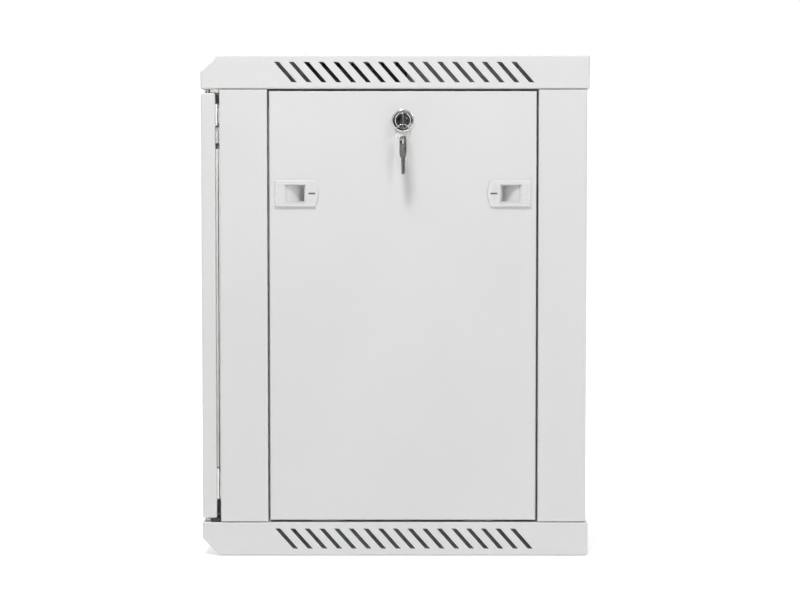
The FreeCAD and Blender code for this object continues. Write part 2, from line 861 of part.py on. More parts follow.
def bolt(name, head_x, nut_x, y, level):
    """A pan-head screw through two sheets, with its nut on the outer one."""
    centre = (y, level)
    tip = f"{nut_x} + nut_height + thread_end"
    head = rod(f"{name}_head", "X", centre, f"{head_x} - head_height", head_x, "head_radius")
    shank = rod(f"{name}_shank", "X", centre, f"{head_x} - head_height / 2", tip, "screw_radius")
    nut = rod(f"{name}_nut", "X", centre, nut_x, f"{nut_x} + nut_height", "nut_radius")
    return join(name, head, shank, nut)


frame_bolts = [
    bolt("frame_bolt", BRACKET_X, f"({FRAME_X} + case_gauge)", y, level)
    for y in (f"({FRONT_WALL} + screw_inset)", f"({REAR_WALL} - screw_inset)")
    for level in (LOW_SCREW, HIGH_SCREW)
]
rail_bolts = [
    bolt("rail_bolt", f"({BRACKET_X} - rail_gauge)", FRAME_X, y, level)
    for y in (f"({FRONT_RAIL} + web_screw_inset)", f"({REAR_RAIL} - web_screw_inset)")
    for level in (LOW_SCREW, HIGH_SCREW)
]
keep(both_hands("frame_screws", gather("frame_bolts", frame_bolts)), "frame_screws")
keep(both_hands("rail_screws", gather("rail_bolts", rail_bolts)), "rail_screws")


def cage_nut(name, number):
    """A nut in its spring cage, clipped in one of a rail's square holes."""
    level = rail_hole(number)
    half_neck = "(hole_side / 2 - cage_play)"
    neck = block(
        f"{name}_neck",
        (f"{HOLE_COLUMN} - {half_neck}", f"{HOLE_COLUMN} + {half_neck}"),
        (f"{FRONT_RAIL} + seat_gap", f"{FRONT_RAIL} + rail_gauge"),
        (f"{level} - {half_neck}", f"{level} + {half_neck}"),
    )
    cage_back = f"{FRONT_RAIL} + rail_gauge + cage_depth"
    cage = block(
        f"{name}_cage",
        (f"{HOLE_COLUMN} - cage_width / 2", f"{HOLE_COLUMN} + cage_width / 2"),
        (f"{FRONT_RAIL} + rail_gauge", cage_back),
        (f"{level} - cage_height / 2", f"{level} + cage_height / 2"),
    )
    thread = rod(
        f"{name}_thread",
        "Y",
        (HOLE_COLUMN, level),
        f"{FRONT_RAIL} - overcut",
        f"{cage_back} + overcut",
        "cage_thread_radius",
    )
    return cut(name, join(f"{name}_blank", neck, cage), thread)


cage_pair = gather("cage_pair", [cage_nut("cage_nut", number) for number in (0, 2)])
keep(both_hands("cage_nuts", cage_pair), "cage_nuts")

# ---- small fixed fittings ----

plate_x = "(entry_length / 2 + entry_overlap)"
entry_plate_blank = block(
    "entry_plate_blank",
    (f"-{plate_x}", plate_x),
    (f"{ENTRY_FRONT} - entry_overlap", f"{ENTRY_BACK} + entry_overlap"),
    (f"{ROOF} - 2 * case_gauge", f"{ROOF} - case_gauge"),
)
plate_holes = [
    rod(
        "plate_hole",
        "Z",
        (f"{side}{plate_screw_x}", plate_screw_y),
        f"{ROOF} - 2 * case_gauge - overcut",
        ROOF,
        "screw_radius",
    )
    for side in ("", "-")
]
keep(cut("roof_entry_plate", entry_plate_blank, *plate_holes), "roof_entry_plate")
plate_screws = []
for side in ("", "-"):
    centre = (f"{side}{plate_screw_x}", plate_screw_y)
    head_top = f"{ROOF} + plate_head_height"
    head = rod("plate_head", "Z", centre, ROOF, head_top, "head_radius")
    tip = f"{ROOF} - plate_screw_length"
    shank = rod("plate_shank", "Z", centre, tip, head_top, "screw_radius - screw_fit")
    plate_screws.append(join("plate_screw", shank, head))
keep(gather("entry_plate_screws", plate_screws), "entry_plate_screws")

trim_body = block(
    "trim_body",
    ("-entry_length / 2 - trim_flange", "entry_length / 2 + trim_flange"),
    (f"{ENTRY_FRONT} - trim_flange", f"{ENTRY_BACK} + trim_flange"),
    ("case_gauge", "case_gauge + trim_gauge"),
)
trim_wall = block(
    "trim_wall",
    ("-entry_length / 2", "entry_length / 2"),
    (ENTRY_FRONT, ENTRY_BACK),
    ("trim_lift", "case_gauge + trim_gauge"),
)
trim_hole = block(
    "trim_hole",
    ("trim_gauge - entry_length / 2", "entry_length / 2 - trim_gauge"),
    (f"{ENTRY_FRONT} + trim_gauge", f"{ENTRY_BACK} - trim_gauge"),
    ("-overcut", "case_gauge + trim_gauge + overcut"),
)
trim_blank = join("trim_blank", trim_body, trim_wall)
keep(cut("floor_entry_trim", trim_blank, trim_hole), "floor_entry_trim")


def buffer(name, low, high):
    """A soft pad on the front upright that the closed door all but touches."""
    return block(
        name,
        (f"{FRAME_X} + buffer_inset", f"{FRAME_X} + buffer_inset + buffer_width"),
        (f"{FRONT_WALL} - buffer_stand", FRONT_WALL),
        (low, high),
    )


low_buffer = buffer("low_buffer", "low_buffer_start", "low_buffer_end")
high_buffer = buffer("high_buffer", "high_buffer_start", "high_buffer_end")
keep(both_hands("door_buffers", gather("buffers", [low_buffer, high_buffer])), "door_buffers")

HINGE = (HINGE_X, HINGE_Y)


def hinge_bush(name, washer_ends, spigot_ends):
    """A flanged bush: a washer beside the door and a spigot in the cover's ledge."""
    washer = rod(f"{name}_washer", "Z", HINGE, *washer_ends, "bush_radius")
    spigot = rod(f"{name}_spigot", "Z", HINGE, *spigot_ends, "spigot_radius")
    bore = rod(f"{name}_bore", "Z", HINGE, "0", ROOF, "pin_radius + pin_fit")
    return cut(name, join(f"{name}_blank", washer, spigot), bore)


high_bush = hinge_bush(
    "high_bush",
    (f"{DOOR_HIGH} + bush_gap", CASE_HIGH),
    (CASE_HIGH, f"{CASE_HIGH} + spigot_length"),
)
low_bush = hinge_bush(
    "low_bush",
    (CASE_LOW, f"{DOOR_LOW} - bush_gap"),
    (f"{CASE_LOW} - spigot_length", CASE_LOW),
)
keep(gather("hinge_bushes", [low_bush, high_bush]), "hinge_bushes")

stud_centre = ("-stud_side", f"{BACK} - stud_setback")
stud_shank = rod("stud_shank", "Z", stud_centre, "case_gauge", "stud_height", "stud_radius")
stud_nut = doc.addObject("Part::Prism", "stud_nut")
stud_nut.Polygon = 6
bind(stud_nut, "Circumradius", "stud_nut_radius")
bind(stud_nut, "Height", "stud_nut_height")
move_to(stud_nut, stud_centre[0], stud_centre[1], "case_gauge")
keep(join("earth_stud", stud_shank, stud_nut), "earth_stud")

# ---- front door ----


def at_y(place):
    """The level of an XZ sketch that lies at this Y."""
    return f"-({place})"


door_frame = new_body("door_frame")
door_outline = rectangle((f"-{DOOR_SIDE}", DOOR_SIDE), (DOOR_LOW, DOOR_HIGH))
pad(door_frame, sketch_on(door_frame, "XZ", at_y(DOOR_BACK), door_outline), "door_depth")
round_edges(door_frame, lambda edge: True, "fold_radius")
door_hollow = rectangle(
    (f"case_gauge - {DOOR_SIDE}", f"{DOOR_SIDE} - case_gauge"),
    (f"{DOOR_LOW} + case_gauge", f"{DOOR_HIGH} - case_gauge"),
)
pocket(
    door_frame,
    sketch_on(door_frame, "XZ", at_y(f"{DOOR_FRONT} + case_gauge"), door_hollow),
    "door_depth - 2 * case_gauge",
)
door_well = rectangle(
    (f"door_return - {DOOR_SIDE}", f"{DOOR_SIDE} - door_return"),
    (f"{DOOR_LOW} + door_return", f"{DOOR_HIGH} - door_return"),
)
pocket(
    door_frame,
    sketch_on(door_frame, "XZ", at_y(f"{DOOR_BACK} - case_gauge - overcut"), door_well),
    "case_gauge + 2 * overcut",
)
door_window = rectangle((f"-{WINDOW_SIDE}", WINDOW_SIDE), (WINDOW_LOW, WINDOW_HIGH))
door_lock_hole = circle(DOOR_LOCK_X, DOOR_LOCK_Z, "barrel_radius + hole_fit")
pocket(
    door_frame,
    sketch_on(door_frame, "XZ", at_y(f"{DOOR_FRONT} - overcut"), door_window, door_lock_hole),
    "case_gauge + 2 * overcut",
)
pin_holes = sketch_on(door_frame, "XY", "0", circle(HINGE_X, HINGE_Y, "pin_radius"))
pocket(door_frame, pin_holes)
keep(door_frame, "door_frame")

SHEET_BACK = f"({DOOR_FRONT} + case_gauge)"
GLASS_FRONT = f"({SHEET_BACK} + seal_gauge)"
GLASS_BACK = f"({GLASS_FRONT} + glass_gauge)"
CLIP_BACK = f"({GLASS_BACK} + clip_gauge)"
glass_x = f"({WINDOW_SIDE} + glass_overlap)"
glass_z = (f"({WINDOW_LOW} - glass_overlap)", f"({WINDOW_HIGH} + glass_overlap)")
seal_blank = block("seal_blank", (f"-{glass_x}", glass_x), (SHEET_BACK, GLASS_FRONT), glass_z)
seal_hole = block(
    "seal_hole",
    (f"-{WINDOW_SIDE}", WINDOW_SIDE),
    (f"{SHEET_BACK} - overcut", f"{GLASS_FRONT} + overcut"),
    (WINDOW_LOW, WINDOW_HIGH),
)
keep(cut("glass_seal", seal_blank, seal_hole), "glass_seal")
door_glass = block("door_glass", (f"-{glass_x}", glass_x), (GLASS_FRONT, GLASS_BACK), glass_z)
keep(door_glass, "door_glass")


def clip_at_side(name, level):
    """An angle at the right edge of the glass, with a foot on the sheet and a tongue."""
    span = (f"{level} - clip_length / 2", f"{level} + clip_length / 2")
    near = f"{glass_x} + clip_gap"
    far = f"{near} + clip_gauge"
    over = f"{glass_x} - clip_reach"
    foot = block(f"{name}_foot", (near, far), (SHEET_BACK, CLIP_BACK), span)
    tongue = block(f"{name}_tongue", (over, far), (GLASS_BACK, CLIP_BACK), span)
    return join(name, foot, tongue)


def clip_at_end(name, edge, outward, x):
    """The same angle at the upper or lower edge of the glass."""
    span = (f"{x} - clip_length / 2", f"{x} + clip_length / 2")
    near = f"{edge} {outward} clip_gap"
    far = f"{near} {outward} clip_gauge"
    over = f"{edge} {outward} (-clip_reach)"
    foot_z = (near, far) if outward == "+" else (far, near)
    tongue_z = (over, far) if outward == "+" else (far, over)
    foot = block(f"{name}_foot", span, (SHEET_BACK, CLIP_BACK), foot_z)
    tongue = block(f"{name}_tongue", span, (GLASS_BACK, CLIP_BACK), tongue_z)
    return join(name, foot, tongue)


clips = [clip_at_side("side_clip", level) for level in ("clip_low", "clip_high")]
clips += [
    clip_at_end("low_clip", glass_z[0], "-", "clip_spread"),
    clip_at_end("high_clip", glass_z[1], "+", "clip_spread"),
]
keep(both_hands("glass_clips", gather("clips", clips)), "glass_clips")

pins = [
    rod("pin_high", "Z", HINGE, f"{DOOR_HIGH} - pin_seat", f"{CASE_HIGH} + pin_end", "pin_radius"),
    rod("pin_low", "Z", HINGE, f"{CASE_LOW} - pin_end", f"{DOOR_LOW} + pin_seat", "pin_radius"),
]
keep(gather("hinge_pins", pins), "hinge_pins")

# ---- cam locks, each made round its own axis with its face outwards ----


def lock(prefix, reach, sheet_behind, place, turn):
    """Body, nut, core, cam and cam screw. The cam plane is at reach behind the face."""
    centre = ("0", "0")

    def finish(thing, label):
        keep(move_to(thing, *place, turn), f"{prefix}_{label}")

    def hexagon(radius, height, level):
        prism = doc.addObject("Part::Prism", f"{prefix}_hexagon")
        prism.Polygon = 6
        bind(prism, "Circumradius", radius)
        bind(prism, "Height", height)
        return move_to(prism, "0", "0", level)

    shoulder = "bezel_stand - bezel_chamfer"
    rim = rod(f"{prefix}_rim", "Z", centre, "0", shoulder, "bezel_radius")
    crown = doc.addObject("Part::Cone", f"{prefix}_crown")
    bind(crown, "Radius1", "bezel_radius")
    bind(crown, "Radius2", "bezel_radius - bezel_slope")
    bind(crown, "Height", "bezel_chamfer")
    move_to(crown, "0", "0", shoulder)
    barrel_low = f"barrel_play - {reach}"
    barrel = rod(f"{prefix}_barrel", "Z", centre, barrel_low, shoulder, "barrel_radius")
    blank = join(f"{prefix}_blank", rim, crown, barrel)
    bore_z = (f"-{reach} - overcut", "bezel_stand + overcut")
    bore = rod(f"{prefix}_bore", "Z", centre, *bore_z, "core_radius + core_fit")
    finish(cut(f"{prefix}_body", blank, bore), "body")

    nut_low = f"-{sheet_behind} - lock_nut_height"
    nut = hexagon("lock_nut_radius", "lock_nut_height", nut_low)
    thread_z = (f"{nut_low} - overcut", "0")
    thread = rod(f"{prefix}_thread", "Z", centre, *thread_z, "barrel_radius + thread_fit")
    finish(cut(f"{prefix}_nut", nut, thread), "nut")

    plug = rod(f"{prefix}_plug", "Z", centre, f"-{reach}", "bezel_stand - core_sink", "core_radius")
    half_spigot = ("-spigot_side / 2", "spigot_side / 2")
    spigot_z = (f"-{reach} - cam_gauge", f"overcut - {reach}")
    spigot = block(f"{prefix}_spigot", half_spigot, half_spigot, spigot_z)
    keyway = block(
        f"{prefix}_keyway",
        ("-blade_height / 2 - keyway_play", "blade_height / 2 + keyway_play"),
        ("-key_gauge / 2 - keyway_play", "key_gauge / 2 + keyway_play"),
        ("key_stand - blade_length - keyway_end_play", "bezel_stand + overcut"),
    )
    tapping_z = (f"-{reach} - cam_gauge - overcut", f"tapping_depth - {reach}")
    tapping = rod(f"{prefix}_tapping", "Z", centre, *tapping_z, "tapping_radius")
    core_blank = join(f"{prefix}_core_blank", plug, spigot)
    finish(cut(f"{prefix}_core", core_blank, keyway, tapping), "core")

    cam_z = (f"-{reach} - cam_gauge", f"-{reach}")
    hub = rod(f"{prefix}_hub", "Z", centre, *cam_z, "cam_width / 2")
    arm = block(f"{prefix}_arm", ("-cam_width / 2", "cam_width / 2"), ("0", "cam_length"), cam_z)
    half_eye = ("-spigot_side / 2 - hole_fit", "spigot_side / 2 + hole_fit")
    eye_z = (f"-{reach} - cam_gauge - overcut", f"overcut - {reach}")
    eye = block(f"{prefix}_eye", half_eye, half_eye, eye_z)
    finish(cut(f"{prefix}_cam", join(f"{prefix}_lever", hub, arm), eye), "cam")

    head_z = (f"-{reach} - cam_gauge - cam_head_height", f"-{reach} - cam_gauge")
    head = rod(f"{prefix}_screw_head", "Z", centre, *head_z, "cam_head_radius")
    shank_z = (head_z[0], f"overcut - {reach}")
    shank = rod(f"{prefix}_screw_shank", "Z", centre, *shank_z, "cam_shank_radius")
    finish(join(f"{prefix}_screw", head, shank), "screw")


FACE_RIGHT = FreeCAD.Rotation(FreeCAD.Vector(0, 1, 0), 90)
FACE_LEFT = FreeCAD.Rotation(FreeCAD.Vector(0, 1, 0), -90)
FACE_FRONT = FreeCAD.Rotation(FreeCAD.Vector(1, 0, 0), 90)
CAM_DOWN = FreeCAD.Rotation(FreeCAD.Vector(0, 0, 1), 180)

right_place = (SIDE, PANEL_MIDDLE, "lock_level")
left_place = (f"-{SIDE}", PANEL_MIDDLE, "lock_level")
door_place = (DOOR_LOCK_X, DOOR_FRONT, DOOR_LOCK_Z)
lock("right_lock", "side_lock_reach", "panel_gauge", right_place, FACE_RIGHT)
lock("left_lock", "side_lock_reach", "panel_gauge", left_place, FACE_LEFT)
lock("door_lock", "door_lock_reach", "case_gauge", door_place, FACE_FRONT.multiply(CAM_DOWN))

# ---- side panels ----

LATCH_OUTER = f"({PANEL_FRONT} + latch_inset)"


def along_latch(distance):
    """A place along the front latch, from its outer end towards the panel's middle."""
    return f"{LATCH_OUTER} + ({distance})"


GUIDE_ENDS = (along_latch("guide_start"), along_latch("guide_end"))
GUIDE_SIDES = ("latch_level - guide_reach", "latch_level + guide_reach")

side_panel = new_body("right_panel")
panel_outline = rectangle((PANEL_FRONT, PANEL_BACK), (PANEL_LOW, PANEL_HIGH))
pad(side_panel, sketch_on(side_panel, "YZ", f"{SIDE} - panel_depth", panel_outline), "panel_depth")
panel_hollow = rectangle(
    (f"{PANEL_FRONT} + panel_gauge", f"{PANEL_BACK} - panel_gauge"),
    (f"{PANEL_LOW} + panel_gauge", f"{PANEL_HIGH} - panel_gauge"),
)
pocket(side_panel, sketch_on(side_panel, "YZ", f"{SIDE} - panel_gauge", panel_hollow), "panel_depth")
latch_hole = rectangle(
    (f"{GUIDE_ENDS[0]} - hole_fit", f"{GUIDE_ENDS[1]} + hole_fit"),
    (f"{GUIDE_SIDES[0]} - hole_fit", f"{GUIDE_SIDES[1]} + hole_fit"),
)
rear_latch_hole = [(f"2 * {PANEL_MIDDLE} - ({y})", z) for y, z in latch_hole]
panel_lock_hole = circle(PANEL_MIDDLE, "lock_level", "barrel_radius + hole_fit")
panel_holes = sketch_on(
    side_panel, "YZ", f"{SIDE} + overcut", latch_hole, rear_latch_hole, panel_lock_hole
)
pocket(side_panel, panel_holes, "panel_gauge + 2 * overcut")
hooks = [
    rectangle(
        (f"{SIDE} - hook_inset", f"{SIDE} - hook_inset + panel_gauge"),
        (f"{middle} - hook_width / 2", f"{middle} + hook_width / 2"),
    )
    for middle in (f"({PANEL_MIDDLE} - hook_spread)", f"({PANEL_MIDDLE} + hook_spread)")
]
hook_sketch = sketch_on(side_panel, "XY", f"{PANEL_LOW} - hook_drop", *hooks)
pad(side_panel, hook_sketch, "hook_drop + panel_gauge")


def outer_rim(edge):
    """The four long edges round a side panel's outer face."""
    box = edge.BoundBox
    half_width = sheet.cabinet_width / 2
    on_face = box.XMin > half_width - 0.01
    return on_face and edge.Length > sheet.cabinet_depth / 2


round_edges(side_panel, outer_rim, "panel_edge_radius")
keep(side_panel, "right_panel")
keep(mirror("left_panel", side_panel), "left_panel")

# ---- slide latches ----


def shield_rim(edge):
    """The edges of a latch's raised face."""
    return edge.BoundBox.XMax > sheet.cabinet_width / 2 + 0.01


guide = new_body("right_guide_front")
shield = [
    (along_latch("0"), "latch_level - latch_height / 2"),
    (along_latch("latch_length - latch_point"), "latch_level - latch_height / 2"),
    (along_latch("latch_length"), "latch_level - latch_tip"),
    (along_latch("latch_length"), "latch_level + latch_tip"),
    (along_latch("latch_length - latch_point"), "latch_level + latch_height / 2"),
    (along_latch("0"), "latch_level + latch_height / 2"),
]
pad(guide, sketch_on(guide, "YZ", SIDE, shield), "latch_stand")
round_edges(guide, shield_rim, "shield_radius")
guide_box = rectangle(GUIDE_ENDS, GUIDE_SIDES)
pad(guide, sketch_on(guide, "YZ", f"{SIDE} - guide_depth", guide_box), "guide_depth")
guide_hollow = rectangle(
    (f"{GUIDE_ENDS[0]} + guide_wall", f"{GUIDE_ENDS[1]} - guide_wall"),
    (f"{GUIDE_SIDES[0]} + guide_wall", f"{GUIDE_SIDES[1]} - guide_wall"),
)
pocket(guide, sketch_on(guide, "YZ", SIDE, guide_hollow), "guide_depth + overcut")
finger_window = rectangle(
    (along_latch("window_start"), along_latch("window_end")),
    ("latch_level - window_reach", "latch_level + window_reach"),
)
window_sketch = sketch_on(guide, "YZ", f"{SIDE} + latch_stand + overcut", finger_window)
pocket(guide, window_sketch, "latch_stand + 2 * overcut")
window_slope = [
    (SIDE, along_latch("window_start")),
    (f"{SIDE} + latch_stand", along_latch("window_start - window_ramp")),
    (f"{SIDE} + latch_stand + overcut", along_latch("window_start - window_ramp")),
    (f"{SIDE} + latch_stand + overcut", along_latch("window_start + overcut")),
    (SIDE, along_latch("window_start + overcut")),
]
slope_sketch = sketch_on(guide, "XY", "latch_level", window_slope)
pocket(guide, slope_sketch, "2 * window_reach", symmetric=True)
keep(guide, "right_guide_front")

slider = new_body("right_slider_front")
SLIDER_REACH = "(guide_reach - guide_wall)"
carriage_end = along_latch("guide_end - guide_wall - slide_fit")
carriage = rectangle(
    (along_latch("carriage_start"), carriage_end),
    (f"latch_level - {SLIDER_REACH} + slide_fit", f"latch_level + {SLIDER_REACH} - slide_fit"),
)
carriage_sketch = sketch_on(slider, "YZ", f"{SIDE} - guide_depth - carriage_sink", carriage)
pad(slider, carriage_sketch, "guide_depth + carriage_sink - slide_fit")
tongue = rectangle(
    (along_latch("tongue_start"), carriage_end),
    (f"latch_level - {SLIDER_REACH}", f"latch_level + {SLIDER_REACH}"),
)
tongue_level = f"{SIDE} - guide_depth - carriage_sink - tongue_gauge"
pad(slider, sketch_on(slider, "YZ", tongue_level, tongue), "tongue_gauge")
finger_scoop = [
    (f"{SIDE} + overcut", along_latch("scoop_start")),
    (f"{SIDE} - scoop_lip", along_latch("scoop_start")),
    (f"{SIDE} - scoop_depth", along_latch("scoop_foot")),
    (f"{SIDE} - scoop_depth", along_latch("scoop_end")),
    (f"{SIDE} + overcut", along_latch("scoop_end")),
]
pocket(slider, sketch_on(slider, "XY", "latch_level", finger_scoop), "scoop_height", symmetric=True)
keep(slider, "right_slider_front")

rear_guide = keep(mirror("right_guide_rear", guide, across_x=False), "right_guide_rear")
rear_slider = keep(mirror("right_slider_rear", slider, across_x=False), "right_slider_rear")
keep(mirror("left_guide_front", guide), "left_guide_front")
keep(mirror("left_guide_rear", rear_guide), "left_guide_rear")
keep(mirror("left_slider_front", slider), "left_slider_front")
keep(mirror("left_slider_rear", rear_slider), "left_slider_rear")

# ---- key, ring and spare key ----


def key(name, x, y, z, turn=None):
    """A flat key along X with its shoulder at the origin and its bow on the +X side."""
    body = new_body(name)
    outline = [
        ("-blade_length + blade_height / 4", "-blade_height / 2"),
        ("0", "-blade_height / 2"),
        ("0", "-bow_height / 2"),
        ("bow_length", "-bow_height / 2"),
        ("bow_length", "bow_height / 2"),
        ("0", "bow_height / 2"),
        ("0", "blade_height / 2"),
        ("-blade_length + blade_height / 4", "blade_height / 2"),
        ("-blade_length", "blade_height / 4"),
        ("-blade_length", "-blade_height / 4"),
    ]
    pad(body, sketch_on(body, "XZ", "0", outline), "key_gauge", symmetric=True)
    opening = rectangle(
        ("bow_length - key_rim - key_slot_width", "bow_length - key_rim"),
        ("-key_slot_height / 2", "key_slot_height / 2"),
    )
    pocket(body, sketch_on(body, "XZ", "0", opening))

    def bow_corner(edge):
        box = edge.BoundBox
        half_bow = sheet.bow_height / 2
        across = box.ZLength < 0.01 and box.XLength < 0.01
        return across and abs(box.ZMax) > half_bow - 0.01

    round_edges(body, bow_corner, "bow_radius")
    return keep(move_to(body, x, y, z, turn), name)


HANGING = FreeCAD.Rotation(FreeCAD.Vector(0, 1, 0), -90)
spare_drop = "(bow_length - key_rim - ring_wire - ring_play)"
key("key", f"{SIDE} + key_stand", PANEL_MIDDLE, "lock_level")
key("spare_key", RING_X, PANEL_MIDDLE, f"{RING_Z} - ring_radius - {spare_drop}", HANGING)

ring = doc.addObject("Part::Torus", "key_ring")
bind(ring, "Radius1", "ring_radius")
bind(ring, "Radius2", "ring_wire")
keep(move_to(ring, RING_X, PANEL_MIDDLE, RING_Z, TO_X), "key_ring")

# ---- test and write ----

doc.recompute()
for thing in doc.Objects:
    if "Invalid" in thing.State or "Error" in thing.State:
        raise RuntimeError(f"{thing.Label} did not recompute")
labels = [thing.Label for thing in sub_parts]
if len(set(labels)) != len(labels):
    raise RuntimeError("two sub-parts share a label")
for thing in sub_parts:
    if thing.Shape.isNull() or not thing.Shape.isValid() or not thing.Shape.Solids:
        raise RuntimeError(f"{thing.Label} has no valid solid")

os.makedirs("parts", exist_ok=True)
for thing in sub_parts:
    thing.Shape.exportStep(f"parts/{thing.Label}.step")
print(len(sub_parts), "sub-parts")
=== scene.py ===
import json
import math

import bmesh
import bpy
from mathutils import Matrix, Vector


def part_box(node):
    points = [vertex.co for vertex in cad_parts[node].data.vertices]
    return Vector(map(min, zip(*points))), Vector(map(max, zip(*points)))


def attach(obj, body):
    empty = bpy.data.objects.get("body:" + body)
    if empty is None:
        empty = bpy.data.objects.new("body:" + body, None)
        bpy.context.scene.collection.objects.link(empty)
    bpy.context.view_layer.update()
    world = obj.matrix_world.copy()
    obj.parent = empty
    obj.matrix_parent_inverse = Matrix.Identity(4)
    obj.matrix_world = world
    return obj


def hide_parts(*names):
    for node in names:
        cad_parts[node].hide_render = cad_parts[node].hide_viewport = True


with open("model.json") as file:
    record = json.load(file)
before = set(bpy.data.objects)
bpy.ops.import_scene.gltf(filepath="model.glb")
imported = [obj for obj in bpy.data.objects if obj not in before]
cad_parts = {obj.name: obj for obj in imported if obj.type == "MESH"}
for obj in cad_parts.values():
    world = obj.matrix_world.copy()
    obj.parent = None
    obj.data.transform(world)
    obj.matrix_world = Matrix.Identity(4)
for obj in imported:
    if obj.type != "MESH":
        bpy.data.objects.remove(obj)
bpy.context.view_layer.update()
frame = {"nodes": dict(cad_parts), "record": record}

# The looks of a wall-mounted rack cabinet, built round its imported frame.
# The frame and the scene are in metres; a piece's own shape is drawn in millimetres.

MM = 0.001
nodes = frame["nodes"]
scene = bpy.context.scene


# ---- materials ----

# The sockets of a Mix node that carries colours.
MIX_SHARE, MIX_FIRST, MIX_SECOND, MIX_RESULT = 0, 6, 7, 2


def set_range(remap, from_low, from_high, low, high):
    """Fills in a Map Range node."""
    values = {"From Min": from_low, "From Max": from_high, "To Min": low, "To Max": high}
    for name, value in values.items():
        remap.inputs[name].default_value = value


class Surface:
    """A material whose colour, roughness and relief are worked out over the object's own space."""

    def __init__(self, name, colour, roughness, metallic=0.0):
        self.material = bpy.data.materials.new(name)
        self.material.use_nodes = True
        self.tree = self.material.node_tree
        self.shader = self.tree.nodes["Principled BSDF"]
        self.shader.inputs["Metallic"].default_value = metallic
        self.colour = colour
        self.roughness = roughness
        self.place = self.node("ShaderNodeTexCoord").outputs["Object"]
        self.relief = None

    def node(self, kind):
        return self.tree.nodes.new(kind)

    def link(self, source, target):
        self.tree.links.new(source, target)

    def stretched(self, scale):
        mapping = self.node("ShaderNodeMapping")
        mapping.inputs["Scale"].default_value = scale
        self.link(self.place, mapping.inputs["Vector"])
        return mapping.outputs["Vector"]

    def noise(self, per_metre, detail=2.0, scale=(1, 1, 1), rough=0.5):
        texture = self.node("ShaderNodeTexNoise")
        texture.inputs["Scale"].default_value = per_metre
        texture.inputs["Detail"].default_value = detail
        texture.inputs["Roughness"].default_value = rough
        self.link(self.stretched(scale), texture.inputs["Vector"])
        return texture.outputs["Fac"]

    def cells(self, per_metre):
        texture = self.node("ShaderNodeTexVoronoi")
        texture.inputs["Scale"].default_value = per_metre
        self.link(self.stretched((1, 1, 1)), texture.inputs["Vector"])
        return texture.outputs["Distance"]

    def spread(self, source, low, high, from_low=0.3, from_high=0.7):
        """The source's usual range laid over low to high."""
        remap = self.node("ShaderNodeMapRange")
        set_range(remap, from_low, from_high, low, high)
        self.link(source, remap.inputs["Value"])
        return remap.outputs["Result"]

    def tint(self, source, other):
        """The colour drifts towards another where the source is high."""
        mix = self.node("ShaderNodeMix")
        mix.data_type = "RGBA"
        mix.inputs[MIX_FIRST].default_value = (*self.colour, 1)
        mix.inputs[MIX_SECOND].default_value = (*other, 1)
        share = self.spread(source, 0.0, 1.0, from_low=0.35, from_high=0.65)
        self.link(share, mix.inputs[MIX_SHARE])
        self.link(mix.outputs[MIX_RESULT], self.shader.inputs["Base Color"])

    def gloss(self, source, drift):
        """The roughness drifts either way with the source."""
        low, high = self.roughness - drift, self.roughness + drift
        self.link(self.spread(source, low, high), self.shader.inputs["Roughness"])

    def bump(self, source, height, strength):
        """The source's relief, its height in metres, over what is there already."""
        relief = self.node("ShaderNodeBump")
        relief.inputs["Distance"].default_value = height
        relief.inputs["Strength"].default_value = strength
        self.link(source, relief.inputs["Height"])
        if self.relief is not None:
            self.link(self.relief, relief.inputs["Normal"])
        self.relief = relief.outputs["Normal"]
        self.link(self.relief, self.shader.inputs["Normal"])

    def set(self, **values):
        for name, value in values.items():
            self.shader.inputs[name.replace("_", " ")].default_value = value


def powder_coat():
    """Light grey powder coat: orange peel about 1.5 mm across, and a fine sand under it."""
    coat = Surface("powder_coat", (0.668, 0.670, 0.666), 0.46)
    coat.tint(coat.noise(7, 3), (0.652, 0.654, 0.651))
    coat.gloss(coat.noise(160, 3), 0.05)
    coat.bump(coat.noise(650, 2), 0.000035, 0.55)
    coat.bump(coat.noise(2600, 1), 0.000012, 0.5)
    return coat.material


def zinc_plate(name, colour, other, roughness):
    """Plated steel: drawn lines along its length, and a patchy bluish or yellowish bloom."""
    zinc = Surface(name, colour, roughness, metallic=1.0)
    zinc.tint(zinc.noise(90, 4), other)
    zinc.gloss(zinc.noise(420, 3, scale=(1, 1, 0.08)), 0.09)
    zinc.bump(zinc.noise(1800, 2, scale=(1, 1, 0.05)), 0.00001, 0.5)
    return zinc.material


def polished(name, colour, other, roughness, drift, scratches):
    """Plated and polished metal, with hairline scratches that catch the light."""
    metal = Surface(name, colour, roughness, metallic=1.0)
    metal.tint(metal.noise(260, 3), other)
    metal.gloss(metal.noise(900, 4, rough=0.7), drift)
    metal.bump(metal.noise(2400, 3, scale=(0.15, 1, 1)), scratches, 0.6)
    return metal.material


def moulded(name, colour, other, roughness, grain, height):
    """Moulded plastic with a spark-eroded grain."""
    plastic = Surface(name, colour, roughness)
    plastic.tint(plastic.noise(60, 3), other)
    plastic.gloss(plastic.noise(500, 2), 0.06)
    plastic.bump(plastic.noise(grain, 2), height, 0.7)
    return plastic.material


def black_rubber():
    rubber = Surface("black_rubber", (0.028, 0.028, 0.029), 0.78)
    rubber.tint(rubber.noise(140, 4), (0.048, 0.047, 0.046))
    rubber.gloss(rubber.noise(300, 2), 0.09)
    rubber.bump(rubber.cells(1500), 0.00004, 0.6)
    return rubber.material


def door_glazing():
    """Clear toughened glass with a faint grey tint and a breath of dust."""
    glass = Surface("door_glazing", (0.80, 0.84, 0.84), 0.035)
    glass.tint(glass.noise(12, 3), (0.78, 0.82, 0.82))
    glass.gloss(glass.noise(45, 5, rough=0.7), 0.03)
    glass.bump(glass.noise(9, 1), 0.00006, 0.3)
    glass.set(Transmission_Weight=1.0, IOR=1.5)
    return glass.material


